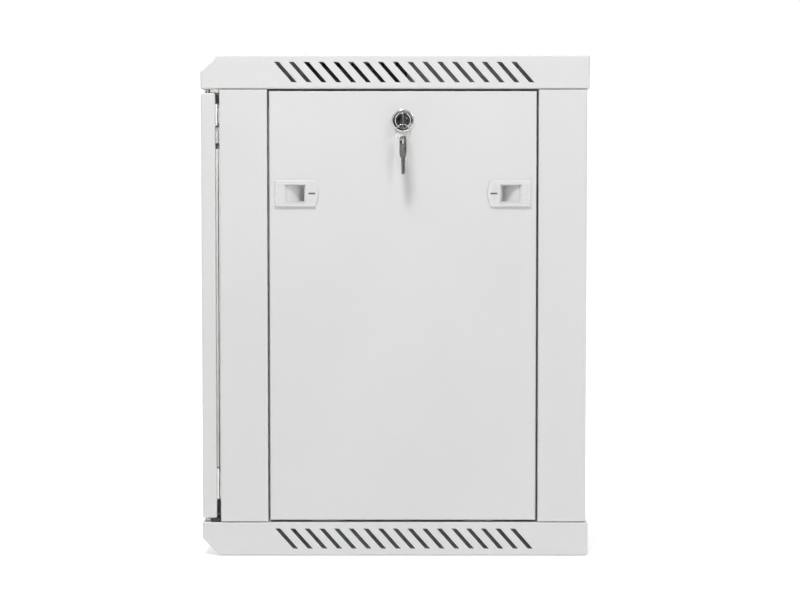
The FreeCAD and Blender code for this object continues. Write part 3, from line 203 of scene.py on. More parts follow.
coat = powder_coat()
zinc = zinc_plate("rail_zinc", (0.60, 0.61, 0.62), (0.53, 0.55, 0.58), 0.38)
bright_zinc = zinc_plate("screw_zinc", (0.68, 0.68, 0.66), (0.66, 0.63, 0.52), 0.27)
chrome = polished("lock_chrome", (0.86, 0.86, 0.86), (0.83, 0.835, 0.84), 0.07, 0.03, 0.000004)
dark_core = polished("lock_core", (0.050, 0.050, 0.056), (0.075, 0.075, 0.082), 0.24, 0.07, 0.00001)
# The keys' nickel is coloured dark as a painted reflection of dark surroundings; the plated metal
# itself is lighter.
nickel_painted_dark = polished("key_nickel", (0.18, 0.176, 0.166), (0.12, 0.112, 0.10), 0.26, 0.09, 0.00001)
ring_steel = polished("ring_steel", (0.78, 0.78, 0.77), (0.70, 0.70, 0.69), 0.16, 0.06, 0.00001)
latch_plastic = moulded(
    "latch_plastic", (0.680, 0.680, 0.678), (0.660, 0.660, 0.658), 0.42, 2200, 0.00003
)
mark_plastic = moulded("mark_plastic", (0.10, 0.10, 0.105), (0.14, 0.14, 0.14), 0.5, 2000, 0.00002)
nylon = moulded("hinge_nylon", (0.60, 0.61, 0.57), (0.56, 0.57, 0.53), 0.48, 1600, 0.00002)
rubber = black_rubber()
foam = moulded("seal_foam", (0.90, 0.90, 0.88), (0.85, 0.85, 0.83), 0.8, 1300, 0.00012)
filter_mat = moulded("filter_mat", (0.045, 0.045, 0.047), (0.09, 0.09, 0.092), 0.9, 900, 0.0005)
glazing = door_glazing()

FINISHES = {
    "case_paint": coat,
    "rail_zinc": zinc,
    "screw_zinc": bright_zinc,
    "black_rubber": rubber,
    "hinge_nylon": nylon,
    "door_glazing": glazing,
    "lock_chrome": chrome,
    "lock_core": dark_core,
    "latch_plastic": latch_plastic,
    "key_nickel": nickel_painted_dark,
}


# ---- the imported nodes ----

# How wide the bevel on the hard edges is, in millimetres, by finish.
EASED = {"case_paint": 0.2, "black_rubber": 0.6, "latch_plastic": 0.2, "door_glazing": 0.3}
EASED_ELSEWHERE = 0.15


def dress(thing, material):
    thing.data.materials.clear()
    thing.data.materials.append(material)


def soften(thing, width):
    """Eases the hard edges, and lets light run smoothly over the folds."""
    weld = thing.modifiers.new("weld", "WELD")
    weld.merge_threshold = 1e-6
    ease = thing.modifiers.new("ease", "BEVEL")
    ease.width = width
    ease.segments = 2
    ease.limit_method = "ANGLE"
    ease.angle_limit = math.radians(50)
    ease.use_clamp_overlap = False
    shade = thing.modifiers.new("shade", "WEIGHTED_NORMAL")
    shade.keep_sharp = False


for row in frame["record"]["subparts"]:
    node, finish = nodes[row["node"]], row["material_slot"]
    dress(node, FINISHES[finish])
    soften(node, EASED.get(finish, EASED_ELSEWHERE) * MM)


# ---- mesh tools ----


class Place:
    """A point of the object with its own directions: across, up and out."""

    def __init__(self, origin, across, up, out):
        self.matrix = Matrix(
            (
                (across[0], up[0], out[0], origin[0]),
                (across[1], up[1], out[1], origin[1]),
                (across[2], up[2], out[2], origin[2]),
                (0, 0, 0, 1),
            )
        )


WORLD = Place((0, 0, 0), (1, 0, 0), (0, 1, 0), (0, 0, 1))


def as_mesh(name, shape, place, smooth_below):
    """The built shape, from millimetres in its own directions, as a mesh in the frame."""
    bmesh.ops.remove_doubles(shape, verts=shape.verts, dist=1e-5)
    bmesh.ops.recalc_face_normals(shape, faces=shape.faces)
    shape.transform(place.matrix @ Matrix.Scale(MM, 4))
    if place.matrix.determinant() < 0:
        bmesh.ops.reverse_faces(shape, faces=shape.faces)
    for edge in shape.edges:
        edge.smooth = edge.calc_face_angle(0.0) < math.radians(smooth_below)
    for face in shape.faces:
        face.smooth = True
    mesh = bpy.data.meshes.new(name)
    shape.to_mesh(mesh)
    shape.free()
    return mesh


def finish_piece(name, shape, place, body, slot, smooth_below=35, material=None, stands_for=()):
    """The built shape as a piece that rides on a body; edges below the angle are smooth."""
    mesh = as_mesh(name, shape, place, smooth_below)
    piece = bpy.data.objects.new(name, mesh)
    scene.collection.objects.link(piece)
    mesh.materials.append(material or FINISHES[slot])
    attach(piece, body)
    if stands_for:
        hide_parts(*stands_for)


def mirrored(hand, near, far):
    """Two distances from a middle plane as a low and a high place on one side of it."""
    return sorted((hand * near, hand * far))


def rounded_box(shape, low, high, radius, segments=2):
    """A block between two corners whose edges are rounded."""
    corners = bmesh.ops.create_cube(shape, size=1)["verts"]
    low, high = Vector(low), Vector(high)
    size, middle = high - low, (low + high) / 2
    for corner in corners:
        corner.co = Vector(c * s + m for c, s, m in zip(corner.co, size, middle))
    edges = {edge for corner in corners for edge in corner.link_edges}
    bmesh.ops.bevel(
        shape, geom=list(edges), offset=radius, segments=segments, profile=0.5, affect="EDGES"
    )


def circle(shape, radius, level, sides, centre=(0, 0)):
    """A ring of vertices round an upright axis."""
    ring = []
    for step in range(sides):
        angle = math.tau * step / sides
        x = centre[0] + radius * math.cos(angle)
        y = centre[1] + radius * math.sin(angle)
        ring.append(shape.verts.new((x, y, level)))
    return ring


def bridge(shape, low, high):
    """The faces between two closed rings that have as many vertices."""
    count = len(low)
    for k in range(count):
        j = (k + 1) % count
        shape.faces.new((low[k], low[j], high[j], high[k]))


def turned(shape, profile, steps, centre=(0, 0)):
    """A form turned on a lathe: the closed profile gives radius and level."""
    on_axis = 1e-6
    rings = []
    for radius, level in profile:
        if radius < on_axis:
            rings.append([shape.verts.new((*centre, level))])
        else:
            rings.append(circle(shape, radius, level, steps, centre))
    loop = rings if profile[0][0] < on_axis else rings + [rings[0]]
    for low, high in zip(loop, loop[1:]):
        for step in range(steps):
            after = (step + 1) % steps
            corners = [low[step % len(low)], low[after % len(low)]]
            corners += [high[after % len(high)], high[step % len(high)]]
            distinct = list(dict.fromkeys(corners))
            if len(distinct) > 2:
                shape.faces.new(distinct)


def arc(centre, radius, start, end, steps):
    """Points on an arc, in degrees."""
    points = []
    for step in range(steps + 1):
        angle = math.radians(start + (end - start) * step / steps)
        points.append((centre[0] + radius * math.cos(angle), centre[1] + radius * math.sin(angle)))
    return points


def thread(radius, depth, low, high, pitch):
    """A profile's ridges from one level to the other."""
    count = max(1, round(abs(high - low) / pitch))
    step = (high - low) / count
    points = []
    for i in range(count):
        points.append((radius - depth, low + step * i + step * 0.1))
        points.append((radius, low + step * (i + 0.5)))
    points.append((radius - depth, high))
    return points


def swept(shape, points, radius, sides):
    """A round wire along the points, closed at both ends."""
    points = [Vector(p) for p in points]
    last = len(points) - 1
    rings = []
    side = None
    for i, point in enumerate(points):
        along = (points[min(i + 1, last)] - points[max(i - 1, 0)]).normalized()
        if side is None:
            side = along.orthogonal().normalized()
        side = (side - along * side.dot(along)).normalized()
        other = along.cross(side)
        ring = []
        for k in range(sides):
            angle = math.tau * k / sides
            reach = side * radius * math.cos(angle) + other * radius * math.sin(angle)
            ring.append(shape.verts.new(point + reach))
        rings.append(ring)
    for low, high in zip(rings, rings[1:]):
        bridge(shape, low, high)
    shape.faces.new(rings[0])
    shape.faces.new(rings[-1])


def pressed_plate(name, outlines, low, high, ease):
    """A flat plate with eased edges, as a shape in millimetres: its outline, then its holes."""
    curve = bpy.data.curves.new(name, "CURVE")
    curve.dimensions = "2D"
    curve.fill_mode = "BOTH"
    curve.extrude = (high - low) / 2 - ease
    curve.bevel_depth = ease
    curve.bevel_resolution = 2
    curve.offset = -ease
    for outline in outlines:
        spline = curve.splines.new("POLY")
        spline.points.add(len(outline) - 1)
        for point, place in zip(spline.points, outline):
            point.co = (place[0], place[1], 0, 1)
        spline.use_cyclic_u = True
    holder = bpy.data.objects.new(name, curve)
    mesh = bpy.data.meshes.new_from_object(holder)
    bpy.data.objects.remove(holder)
    shape = bmesh.new()
    shape.from_mesh(mesh)
    bpy.data.meshes.remove(mesh)
    shape.transform(Matrix.Translation((0, 0, (low + high) / 2)))
    return shape


def carved(base, tool):
    """The base shape with the tool's shape taken out of it."""
    holders = []
    for shape in (base, tool):
        bmesh.ops.recalc_face_normals(shape, faces=shape.faces)
        mesh = bpy.data.meshes.new("carving")
        shape.to_mesh(mesh)
        shape.free()
        holder = bpy.data.objects.new("carving", mesh)
        scene.collection.objects.link(holder)
        holders.append(holder)
    cutter = holders[0].modifiers.new("cut", "BOOLEAN")
    cutter.object = holders[1]
    cutter.solver = "EXACT"
    bpy.context.view_layer.update()
    result = bmesh.new()
    evaluated = holders[0].evaluated_get(bpy.context.evaluated_depsgraph_get())
    result.from_mesh(evaluated.to_mesh())
    evaluated.to_mesh_clear()
    for holder in holders:
        mesh = holder.data
        bpy.data.objects.remove(holder)
        bpy.data.meshes.remove(mesh)
    return result


def add_shape(target, source, matrix=None):
    """Moves one built shape into another."""
    if matrix is not None:
        source.transform(matrix)
    mesh = bpy.data.meshes.new("part")
    source.to_mesh(mesh)
    source.free()
    target.from_mesh(mesh)
    bpy.data.meshes.remove(mesh)


def cross_recess(radius, top, depth):
    """The tapered cross that a driver leaves in a screw's head, as one closed form."""
    tool = bmesh.new()
    thin = radius * 0.22
    rings = []
    for level, reach in ((top + 0.5, radius), (top - depth, radius * 0.5)):
        ring = []
        for turn in range(4):
            quarter = Matrix.Rotation(math.tau * turn / 4, 3, "Z")
            for corner in ((reach, -thin), (reach, thin), (thin, thin)):
                ring.append(tool.verts.new(quarter @ Vector((*corner, level))))
        rings.append(ring)
    bridge(tool, *rings)
    for ring in rings:
        tool.faces.new(ring)
    return tool


def screw_head(radius, height):
    """A pan head with a cross recess, seated at level 0, as a shape in millimetres."""
    head = bmesh.new()
    profile = [(0, 0), (radius * 0.97, 0), (radius, height * 0.12), (radius, height * 0.4)]
    profile += [(radius * 0.96, height * 0.62), (radius * 0.84, height * 0.84)]
    profile += [(radius * 0.6, height * 0.97), (0, height)]
    turned(head, profile, steps=36)
    return carved(head, cross_recess(radius * 0.58, height, height * 0.7))


# ---- locks ----

# A lock's radii, how far its core stands proud of its seat, and the sides of any nut.
BEZEL = 11.5
BARREL = 9.4
BORE = 7.08
PLUG_STAND = 1.9
NUT_SIDES = 6


def lock_place(prefix, out):
    """Where a lock's seat lies, from its packed core, which stands proud of it."""
    low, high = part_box(f"{prefix}_core")
    middle = (low + high) / 2
    out, up = Vector(out), Vector((0, 0, 1))
    tip = max((Vector(c) - middle).dot(out) for c in (low, high))
    origin = middle + out * (tip - PLUG_STAND * MM)
    return Place(origin, up.cross(out), up, out)


def lock_front(prefix, body, place, reach):
    """The plated body: a dished bezel with a rolled rim over a threaded barrel."""
    shape = bmesh.new()
    profile = [(BORE, 0.4 - reach), (BORE, 1.1), (7.35, 1.45), (8.0, 1.52)]
    profile += [(8.9, 1.72), (9.6, 2.05)]
    profile += arc((10.35, 1.35), 0.85, 118, 10, 8)
    profile += [(BEZEL - 0.1, 0.9), (BEZEL, 0.35), (BEZEL, 0.06), (BEZEL - 0.1, 0.0)]
    profile += [(BARREL, 0.0), (BARREL, -1.0)]
    profile += thread(BARREL, 0.35, -5.2, 0.8 - reach, 1.0)
    profile += [(BARREL - 0.6, 0.4 - reach)]
    turned(shape, profile, steps=96)
    stands_for = [f"{prefix}_body"]
    finish_piece(f"{prefix}_bezel", shape, place, body, "lock_chrome", stands_for=stands_for)


def lock_nut(prefix, body, place, sheet):
    """A thin hexagon nut behind the sheet, with turned-down corners and a round bore."""
    shape = bmesh.new()
    low, high = -sheet - 4.0, -sheet
    corners = ((12.0, low), (12.7, low + 0.6), (12.7, high - 0.4), (12.3, high))
    outer = [circle(shape, radius, level, NUT_SIDES) for radius, level in corners]
    per_side = 8
    around = NUT_SIDES * per_side
    inner = [circle(shape, 9.42, level, around) for level in (low, high)]
    for a, b in zip(outer, outer[1:]):
        bridge(shape, a, b)
    bridge(shape, *inner)
    half = per_side // 2
    for outside, inside in ((outer[0], inner[0]), (outer[-1], inner[-1])):
        for k in range(NUT_SIDES):
            near, far = outside[k], outside[(k + 1) % NUT_SIDES]
            run = [inside[(per_side * k + m) % around] for m in range(per_side + 1)]
            for a, b in zip(run[:half], run[1:]):
                shape.faces.new((near, a, b))
            shape.faces.new((near, run[half], far))
            for a, b in zip(run[half:], run[half + 1:]):
                shape.faces.new((far, a, b))
    stands_for = [f"{prefix}_nut"]
    finish_piece(f"{prefix}_hexagon", shape, place, body, "screw_zinc", 25, stands_for=stands_for)


def lock_plug(prefix, body, place, reach):
    """The dark core: a chamfered face with a broached keyway, and its square tail."""
    plug = bmesh.new()
    face = PLUG_STAND
    profile = [(0, -reach), (6.6, -reach), (7.0, -reach + 0.4), (7.0, face - 1.0)]
    profile += [(6.92, face - 0.55), (6.6, face - 0.25), (5.6, face - 0.12), (5.2, face - 0.3)]
    profile += [(4.9, face - 0.3), (4.6, face - 0.1), (0, face)]
    turned(plug, profile, steps=72)
    slot = bmesh.new()
    rounded_box(slot, (-1.25, -3.75, -14.6), (1.25, 3.75, face + 2), 0.3)
    plug = carved(plug, slot)
    rounded_box(plug, (-3, -3, -reach - 1.95), (3, 3, -reach - 0.02), 0.25)
    stands_for = [f"{prefix}_core"]
    finish_piece(f"{prefix}_plug", plug, place, body, "lock_core", stands_for=stands_for)


def cam_screw(prefix, body, place, reach):
    """The screw behind the cam, its head away from the face."""
    screw = screw_head(4.6, 2.6)
    stem = [(0, -3.0)] + thread(1.5, 0.2, -2.9, -0.1, 0.5)
    turned(screw, stem + [(1.3, 0.2), (0, 0.2)], steps=24)
    screw.transform(Matrix.Translation((0, 0, -reach - 2)) @ Matrix.Rotation(math.pi, 4, "X"))
    stands_for = [f"{prefix}_screw"]
    finish_piece(f"{prefix}_cam_screw", screw, place, body, "screw_zinc", stands_for=stands_for)


# Each lock's panel, which way it faces, how far it reaches back and how thick the sheet is.
LOCKS = (
    ("right_lock", "right_panel", (1, 0, 0), 17.2, 1.0),
    ("left_lock", "left_panel", (-1, 0, 0), 17.2, 1.0),
    ("door_lock", "door", (0, -1, 0), 21.0, 1.2),
)
for prefix, panel, out, reach, sheet in LOCKS:
    place = lock_place(prefix, out)
    lock_front(prefix, panel, place, reach)
    lock_nut(prefix, panel, place, sheet)
    lock_plug(prefix, prefix, place, reach)
    cam_screw(prefix, prefix, place, reach)


# ---- slide latches ----


def latch_place(side, end):
    """A latch's face: across runs from its outer end to the panel's middle."""
    low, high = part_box(f"{side}_guide_{end}")
    out = Vector((1 if side == "right" else -1, 0, 0))
    across = Vector((0, 1 if end == "front" else -1, 0))
    x = high.x if side == "right" else low.x
    y = low.y if end == "front" else high.y
    return Place(Vector((x, y, (low.z + high.z) / 2)), across, Vector((0, 0, 1)), out)


def latch_face(side, end):
    """What is moulded on a latch's face: ribs, a rim round the finger window, and grip dots."""
    place = latch_place(side, end)
    panel = f"{side}_panel"
    shape = bmesh.new()
    ribs, rib_pitch = 6, 3.75
    for number in range(ribs):
        level = (number - (ribs - 1) / 2) * rib_pitch
        rounded_box(shape, (2.6, level - 0.75, -0.3), (5.3, level + 0.75, 0.34), 0.28)
    rim = (((8.0, 8.82), (31.5, 9.6)), ((8.0, -9.6), (31.5, -8.82)), ((30.72, -9.6), (31.5, 9.6)))
    for low, high in rim:
        rounded_box(shape, (*low, -0.3), (*high, 0.3), 0.26)
    dome = [(0, -0.2), (0.46, -0.2), (0.46, 0.03), (0.3, 0.2), (0, 0.26)]
    rows, columns, dot_pitch = 6, 5, 1.35
    for row in range(rows):
        for column in range(columns):
            for hand in (-1, 1):
                centre = (33.6 + column * dot_pitch, hand * (3.2 + row * dot_pitch))
                turned(shape, dome, steps=8, centre=centre)
    finish_piece(f"{side}_latch_face_{end}", shape, place, panel, "latch_plastic")
    bar = bmesh.new()
    rounded_box(bar, (33.7, -0.85, -0.3), (40.6, 0.85, 0.12), 0.12)
    finish_piece(
        f"{side}_latch_mark_{end}", bar, place, panel, "latch_plastic", material=mark_plastic
    )


def latch_scoop(side, end):
    """The slider's finger hollow: a curved ramp, with crossed ribs where it is deepest."""
    shape = bmesh.new()
    start, length, half_width = 11.35, 15.1, 7.85
    face = -2.55
    steps = 14
    top, base = [], []
    for step in range(steps + 1):
        share = step / steps
        along = start + length * share
        top.append((along, face - 0.05 - 9.75 * share**1.7))
        base.append((along, face - 0.95 - 9.7 * share))
    outline = top + base[::-1]
    sections = []
    for level in (-half_width, half_width):
        sections.append([shape.verts.new((x, level, z)) for x, z in outline])
    bridge(shape, *sections)
    for section in sections:
        for k in range(steps):
            other = len(outline) - 1 - k
            shape.faces.new((section[k], section[k + 1], section[other - 1], section[other]))
    tip = Matrix.Rotation(math.atan2(9.3, length), 4, "Y")
    for turn in (-52, 52):
        rib = bmesh.new()
        rounded_box(rib, (-5.6, -0.35, -0.5), (5.6, 0.35, 0.45), 0.16)
        lean = Matrix.Rotation(math.radians(turn), 4, "Z")
        add_shape(shape, rib, Matrix.Translation((24.0, 0, face - 7.6)) @ tip @ lean)
    name, latch = f"{side}_scoop_{end}", f"{side}_latch_{end}"
    finish_piece(name, shape, latch_place(side, end), latch, "latch_plastic")


for side in ("right", "left"):
    for end in ("front", "rear"):
        latch_face(side, end)
        latch_scoop(side, end)


# ---- key, ring and spare key ----

# How far a key's bow ends from its shoulder, and how far the spare key is turned.
BOW_END = 20.5
SPARE_TURN = math.radians(17)


def key_outline():
    """A flat key along its length: the blade's bitting on the lower edge, then the bow."""
    bits = [(-15.4, -2.5), (-14.2, -1.7), (-13.0, -1.7), (-11.9, -2.9), (-10.8, -2.2)]
    bits += [(-9.6, -2.2), (-8.4, -3.2), (-7.3, -2.4), (-6.0, -2.4), (-4.6, -3.5)]
    outline = [(-17.2, 1.4), (-17.2, -1.2)] + bits + [(-0.9, -3.5), (-0.9, -4.6)]
    outline += arc((4.2, -4.0), 5.0, 195, 270, 6)
    outline += arc((15.5, -4.0), 5.0, 270, 360, 7)
    outline += arc((15.5, 4.0), 5.0, 0, 90, 7)
    outline += arc((4.2, 4.0), 5.0, 90, 165, 6)
    outline += [(-0.9, 4.6), (-0.9, 3.5), (-15.6, 3.5)]
    return outline


def rounded_slot(x, half_x, half_y, radius):
    """A rounded rectangle on the key's middle line."""
    corners = []
    for sign_x, sign_y, start in ((1, 1, 0), (-1, 1, 90), (-1, -1, 180), (1, -1, 270)):
        centre = (x + sign_x * (half_x - radius), sign_y * (half_y - radius))
        corners += arc(centre, radius, start, start + 90, 4)
    return corners


def key_shape():
    """The pressed blank, and on each side a raised border, a boss round the slot and a ridge."""
    slot = rounded_slot(15.5, 2.5, 6.0, 2.2)
    border = [rounded_slot(9.6, 10.0, 8.1, 4.4), rounded_slot(9.6, 8.9, 7.0, 3.6)]
    boss = [rounded_slot(15.5, 3.4, 6.9, 2.9), slot]
    shape = pressed_plate("key_blank", [key_outline(), slot], -0.9, 0.9, 0.22)
    for face in (-1, 1):
        for outlines in (border, boss):
            low, high = mirrored(face, 0.7, 1.0)
            add_shape(shape, pressed_plate("key_relief", outlines, low, high, 0.06))
        low, high = mirrored(face, 0.7, 0.98)
        rounded_box(shape, (-15.8, 0.3, low), (-1.2, 1.5, high), 0.1)
    return shape


def lock_key():
    """The key that stands in the lock."""
    low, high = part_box("key")
    shoulder = Vector((high.x - BOW_END * MM, (low.y + high.y) / 2, (low.z + high.z) / 2))
    place = Place(shoulder, (1, 0, 0), (0, 0, 1), (0, -1, 0))
    finish_piece("lock_key", key_shape(), place, "key", "key_nickel", 40, stands_for=["key"])


def hanging_key():
    """The spare key, which hangs on the ring by its bow."""
    low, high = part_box("spare_key")
    facing = Vector((math.cos(SPARE_TURN), math.sin(SPARE_TURN), 0))
    hang = Vector(((low.x + high.x) / 2, (low.y + high.y) / 2, high.z - BOW_END * MM))
    place = Place(hang, (0, 0, 1), facing, Vector((0, 0, 1)).cross(facing))
    finish_piece(
        "hanging_key", key_shape(), place, "spare_key", "key_nickel", 40, stands_for=["spare_key"]
    )


def split_ring():
    """Two turns of wire pressed flat on each other, each end stepping over the other turn."""
    low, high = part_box("key_ring")
    wire = 0.42
    radius = (high.z - low.z) / 2 / MM - 0.7
    turns, steps = 1.92, 150
    crossing, crossing_length = 0.84, 0.2
    points = []
    for step in range(steps + 1):
        wrap = turns * step / steps
        angle = math.radians(35) + math.tau * wrap
        blend = min(1.0, max(0.0, (wrap - crossing) / crossing_length))
        offset = wire * (2 * (3 * blend**2 - 2 * blend**3) - 1)
        points.append((radius * math.cos(angle), radius * math.sin(angle), offset))
    shape = bmesh.new()
    swept(shape, points, wire, sides=12)
    place = Place((low + high) / 2, (0, 1, 0), (0, 0, 1), (1, 0, 0))
    finish_piece(
        "split_ring", shape, place, "key_ring", "key_nickel", 60, ring_steel, stands_for=["key_ring"]
    )


lock_key()
hanging_key()
split_ring()


# ---- screws and cage nuts ----

HEAD_RADIUS = 4.56


def boxes_of(node):
    """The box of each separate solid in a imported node."""
    shape = bmesh.new()
    shape.from_mesh(nodes[node].data)
    bmesh.ops.remove_doubles(shape, verts=shape.verts, dist=1e-6)
    left = set(shape.verts)
    boxes = []
    while left:
        group, reached = set(), [left.pop()]
        while reached:
            vertex = reached.pop()
            group.add(vertex)
            for edge in vertex.link_edges:
                other = edge.other_vert(vertex)
                if other in left:
                    left.remove(other)
                    reached.append(other)
        low = Vector(min(v.co[i] for v in group) for i in range(3))
        high = Vector(max(v.co[i] for v in group) for i in range(3))
        boxes.append((low, high))
    shape.free()
    return sorted(boxes, key=lambda box: tuple(round(c, 5) for c in box[0]))


def hex_nut(shape, radius, low, high):
    """A small chamfered hexagon nut on the axis."""
    levels = ((0.9, low), (1.0, low + 0.35), (1.0, high - 0.35), (0.9, high))
    rings = [circle(shape, radius * share, level, NUT_SIDES) for share, level in levels]
    for a, b in zip(rings, rings[1:]):
        bridge(shape, a, b)
    shape.faces.new(rings[0])
    shape.faces.new(rings[-1])


def pan_screw(height, length, radius, plain):
    """A pan-head screw seated at level 0, its stem plain next to the head."""
    screw = screw_head(HEAD_RADIUS, height)
    stem = [(0, height - length)] + thread(radius, 0.25, height + 0.2 - length, -plain, 0.8)
    turned(screw, stem + [(radius - 0.1, 0.1), (0, 0.1)], steps=24)
    return screw


def bolts(name, node, between):
    """Pan-head screws through two sheets, each with its nut, inside the cabinet's sides."""
    height = 2.4
    shape = bmesh.new()
    for low, high in boxes_of(node):
        middle = (low + high) / 2
        outward = 1 if middle.x > 0 else -1
        inner_end = low.x if outward > 0 else high.x
        bolt = pan_screw(height, (high.x - low.x) / MM, 2.4, between)
        hex_nut(bolt, 4.3, -between - 3.0, -between)
        seat = Vector((inner_end + outward * height * MM, middle.y, middle.z)) / MM
        local = Place(seat, (0, -outward, 0), (0, 0, 1), (-outward, 0, 0)).matrix
        add_shape(shape, bolt, local)
    finish_piece(name, shape, WORLD, "cabinet", "screw_zinc", stands_for=[node])


def plate_screws():
    """The two screws that hold the roof's entry plate."""
    height = 1.6
    shape = bmesh.new()
    for low, high in boxes_of("entry_plate_screws"):
        middle = (low + high) / 2
        screw = pan_screw(height, (high.z - low.z) / MM, 2.3, 0.2)
        seat = Matrix.Translation((middle.x / MM, middle.y / MM, high.z / MM - height))
        add_shape(shape, screw, seat)
    stands_for = ["entry_plate_screws"]
    finish_piece("roof_screws", shape, WORLD, "cabinet", "screw_zinc", stands_for=stands_for)


def cage_nut():
    """A square nut in a spring cage whose lugs bend back through the rail's hole."""
    nut = bmesh.new()
    collar = [(3.0, 0.4), (3.4, 0.05), (4.3, 0.05), (4.5, 0.3), (4.5, 1.6), (4.2, 1.7)]
    turned(nut, collar + [(3.0, 1.7)], steps=36)
    body = bmesh.new()
    rounded_box(body, (-4.4, -4.4, 1.5), (4.4, 4.4, 5.6), 0.5)
    bore = bmesh.new()
    turned(bore, [(0, 0.5)] + thread(3.1, 0.3, 0.6, 6.4, 1.0) + [(0, 6.6)], steps=24)
    add_shape(nut, carved(body, bore))
    for hand in (-1, 1):
        near, far = mirrored(hand, 4.2, 4.65)
        rounded_box(nut, (near, -3.4, 0.1), (far, 3.4, 1.7), 0.15)
        near, far = mirrored(hand, 4.2, 5.95)
        rounded_box(nut, (near, -3.4, 1.45), (far, 3.4, 1.95), 0.15)
        near, far = mirrored(hand, 4.75, 5.3)
        rounded_box(nut, (near, -5.2, 1.5), (far, 5.2, 5.7), 0.15)
    for hand in (1, -1):
        near, far = mirrored(hand, 4.6, 5.2)
        rounded_box(nut, (-5.3, near, 1.5), (5.3, far, 5.9), 0.15)
    return nut


def cage_nuts():
    """The cage nuts in the rails' holes."""
    shape = bmesh.new()
    for low, high in boxes_of("cage_nuts"):
        middle = (low + high) / 2
        face = Vector((middle.x, low.y, middle.z)) / MM
        add_shape(shape, cage_nut(), Place(face, (-1, 0, 0), (0, 0, 1), (0, 1, 0)).matrix)
    finish_piece("spring_nuts", shape, WORLD, "cabinet", "screw_zinc", stands_for=["cage_nuts"])


bolts("frame_bolts", "frame_screws", 2.4)
bolts("rail_bolts", "rail_screws", 2.7)
plate_screws()
cage_nuts()


# ---- hinges and the door's seal ----

# The hinge pin's radius, where the hinge and its neighbours lie, and the cabinet's mid height.
PIN = 2.55
low_bush, high_bush = boxes_of("hinge_bushes")
hinge_x = (low_bush[0].x + low_bush[1].x) / 2 / MM
hinge_y = (low_bush[0].y + low_bush[1].y) / 2 / MM
door_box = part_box("door_frame")
door_low, door_high = (corner.z / MM for corner in door_box)
door_back = door_box[1].y / MM
case_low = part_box("bottom_cover")[1].z / MM
case_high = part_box("top_cover")[0].z / MM
post_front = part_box("front_upright_right")[0].y / MM
bumper_boxes = [(low / MM, high / MM) for low, high in boxes_of("door_buffers")]
HALF_WAY = 250.0

# Where the foam lies, as distances from the cabinet's middle plane, and the joint in its runs.
DEEP_FOAM = (246.5, 254.4)
THIN_FOAM = (256.0, 267.0)
THIN_PAD = (256.0, 267.8)
FOAM_JOINT = (411.4, 416.2)


def hinge_sleeves():
    """Flanged nylon sleeves in the covers, with a collar near the door: the pin shows between."""
    shape = bmesh.new()
    for (low, high), face, way in ((low_bush, case_low, 1), (high_bush, case_high, -1)):
        far = low.z / MM if way > 0 else high.z / MM
        near = high.z / MM if way > 0 else low.z / MM
        flange = [(PIN, far), (3.3, far), (3.5, far + way * 0.3), (3.5, face), (4.4, face)]
        flange += [(4.4, face + way * 0.7), (4.1, face + way * 0.95), (PIN, face + way * 0.95)]
        turned(shape, flange, steps=40, centre=(hinge_x, hinge_y))
        collar = [(PIN, near - way * 0.8), (3.4, near - way * 0.8), (3.6, near - way * 0.5)]
        collar += [(3.6, near - way * 0.15), (3.4, near), (PIN, near)]
        turned(shape, collar, steps=40, centre=(hinge_x, hinge_y))
    stands_for = ["hinge_bushes"]
    finish_piece("hinge_sleeves", shape, WORLD, "cabinet", "hinge_nylon", 40, stands_for=stands_for)


def hinge_block(name, low, high, slot):
    """The moulded block behind a hinge pin, hollowed round it."""
    front, back = hinge_y + 2.9, post_front - 0.25
    outline = [(hinge_x + 6.4, front), (hinge_x + 7.0, front + 0.8)]
    outline += arc((hinge_x + 5.4, back - 1.6), 1.6, 0, 90, 4)
    outline += arc((hinge_x - 12.0, back - 1.6), 1.6, 90, 180, 4)
    outline += [(hinge_x - 13.6, front + 0.8), (hinge_x - 13.0, front)]
    outline += [(hinge_x - 3.4, front)] + arc((hinge_x, hinge_y), 4.5, 128, 52, 8)
    outline += [(hinge_x + 3.4, front)]
    finish_piece(name, pressed_plate(name, [outline], low, high, 0.3), WORLD, "cabinet", slot, 40)


def slanted_strip(shape, low, high, cuts, ease):
    """A strip between two corners, its door side cut back at the lower and upper end."""
    strip = bmesh.new()
    rounded_box(strip, low, high, ease, segments=3)
    middle_y, middle_z = (low[1] + high[1]) / 2, (low[2] + high[2]) / 2
    for vertex in strip.verts:
        if vertex.co.y < middle_y:
            vertex.co.z += cuts[0] if vertex.co.z < middle_z else -cuts[1]
    add_shape(shape, strip)


def door_seal():
    """Pale foam strips on the corner posts, which the door's folded edge closes on."""
    low_end = max(high.z for low, high in bumper_boxes if high.z < HALF_WAY)
    high_end = min(low.z for low, high in bumper_boxes if low.z > HALF_WAY)
    front, back = door_back + 0.5, post_front - 0.02
    cuts = (0.4, 0.4)
    shape = bmesh.new()
    for hand in (1, -1):
        inner, outer = mirrored(hand, *DEEP_FOAM)
        thin_inner, thin_outer = mirrored(hand, *THIN_FOAM)
        for low, high in ((low_end + 1.0, FOAM_JOINT[0]), (FOAM_JOINT[1], high_end - 0.6)):
            slanted_strip(shape, (inner, front, low), (outer, back, high), cuts, 0.45)
            thin_low = (thin_inner, post_front - 0.85, low)
            slanted_strip(shape, thin_low, (thin_outer, back, high), cuts, 0.3)
    finish_piece("door_seal", shape, WORLD, "cabinet", "hinge_nylon", 40, foam)


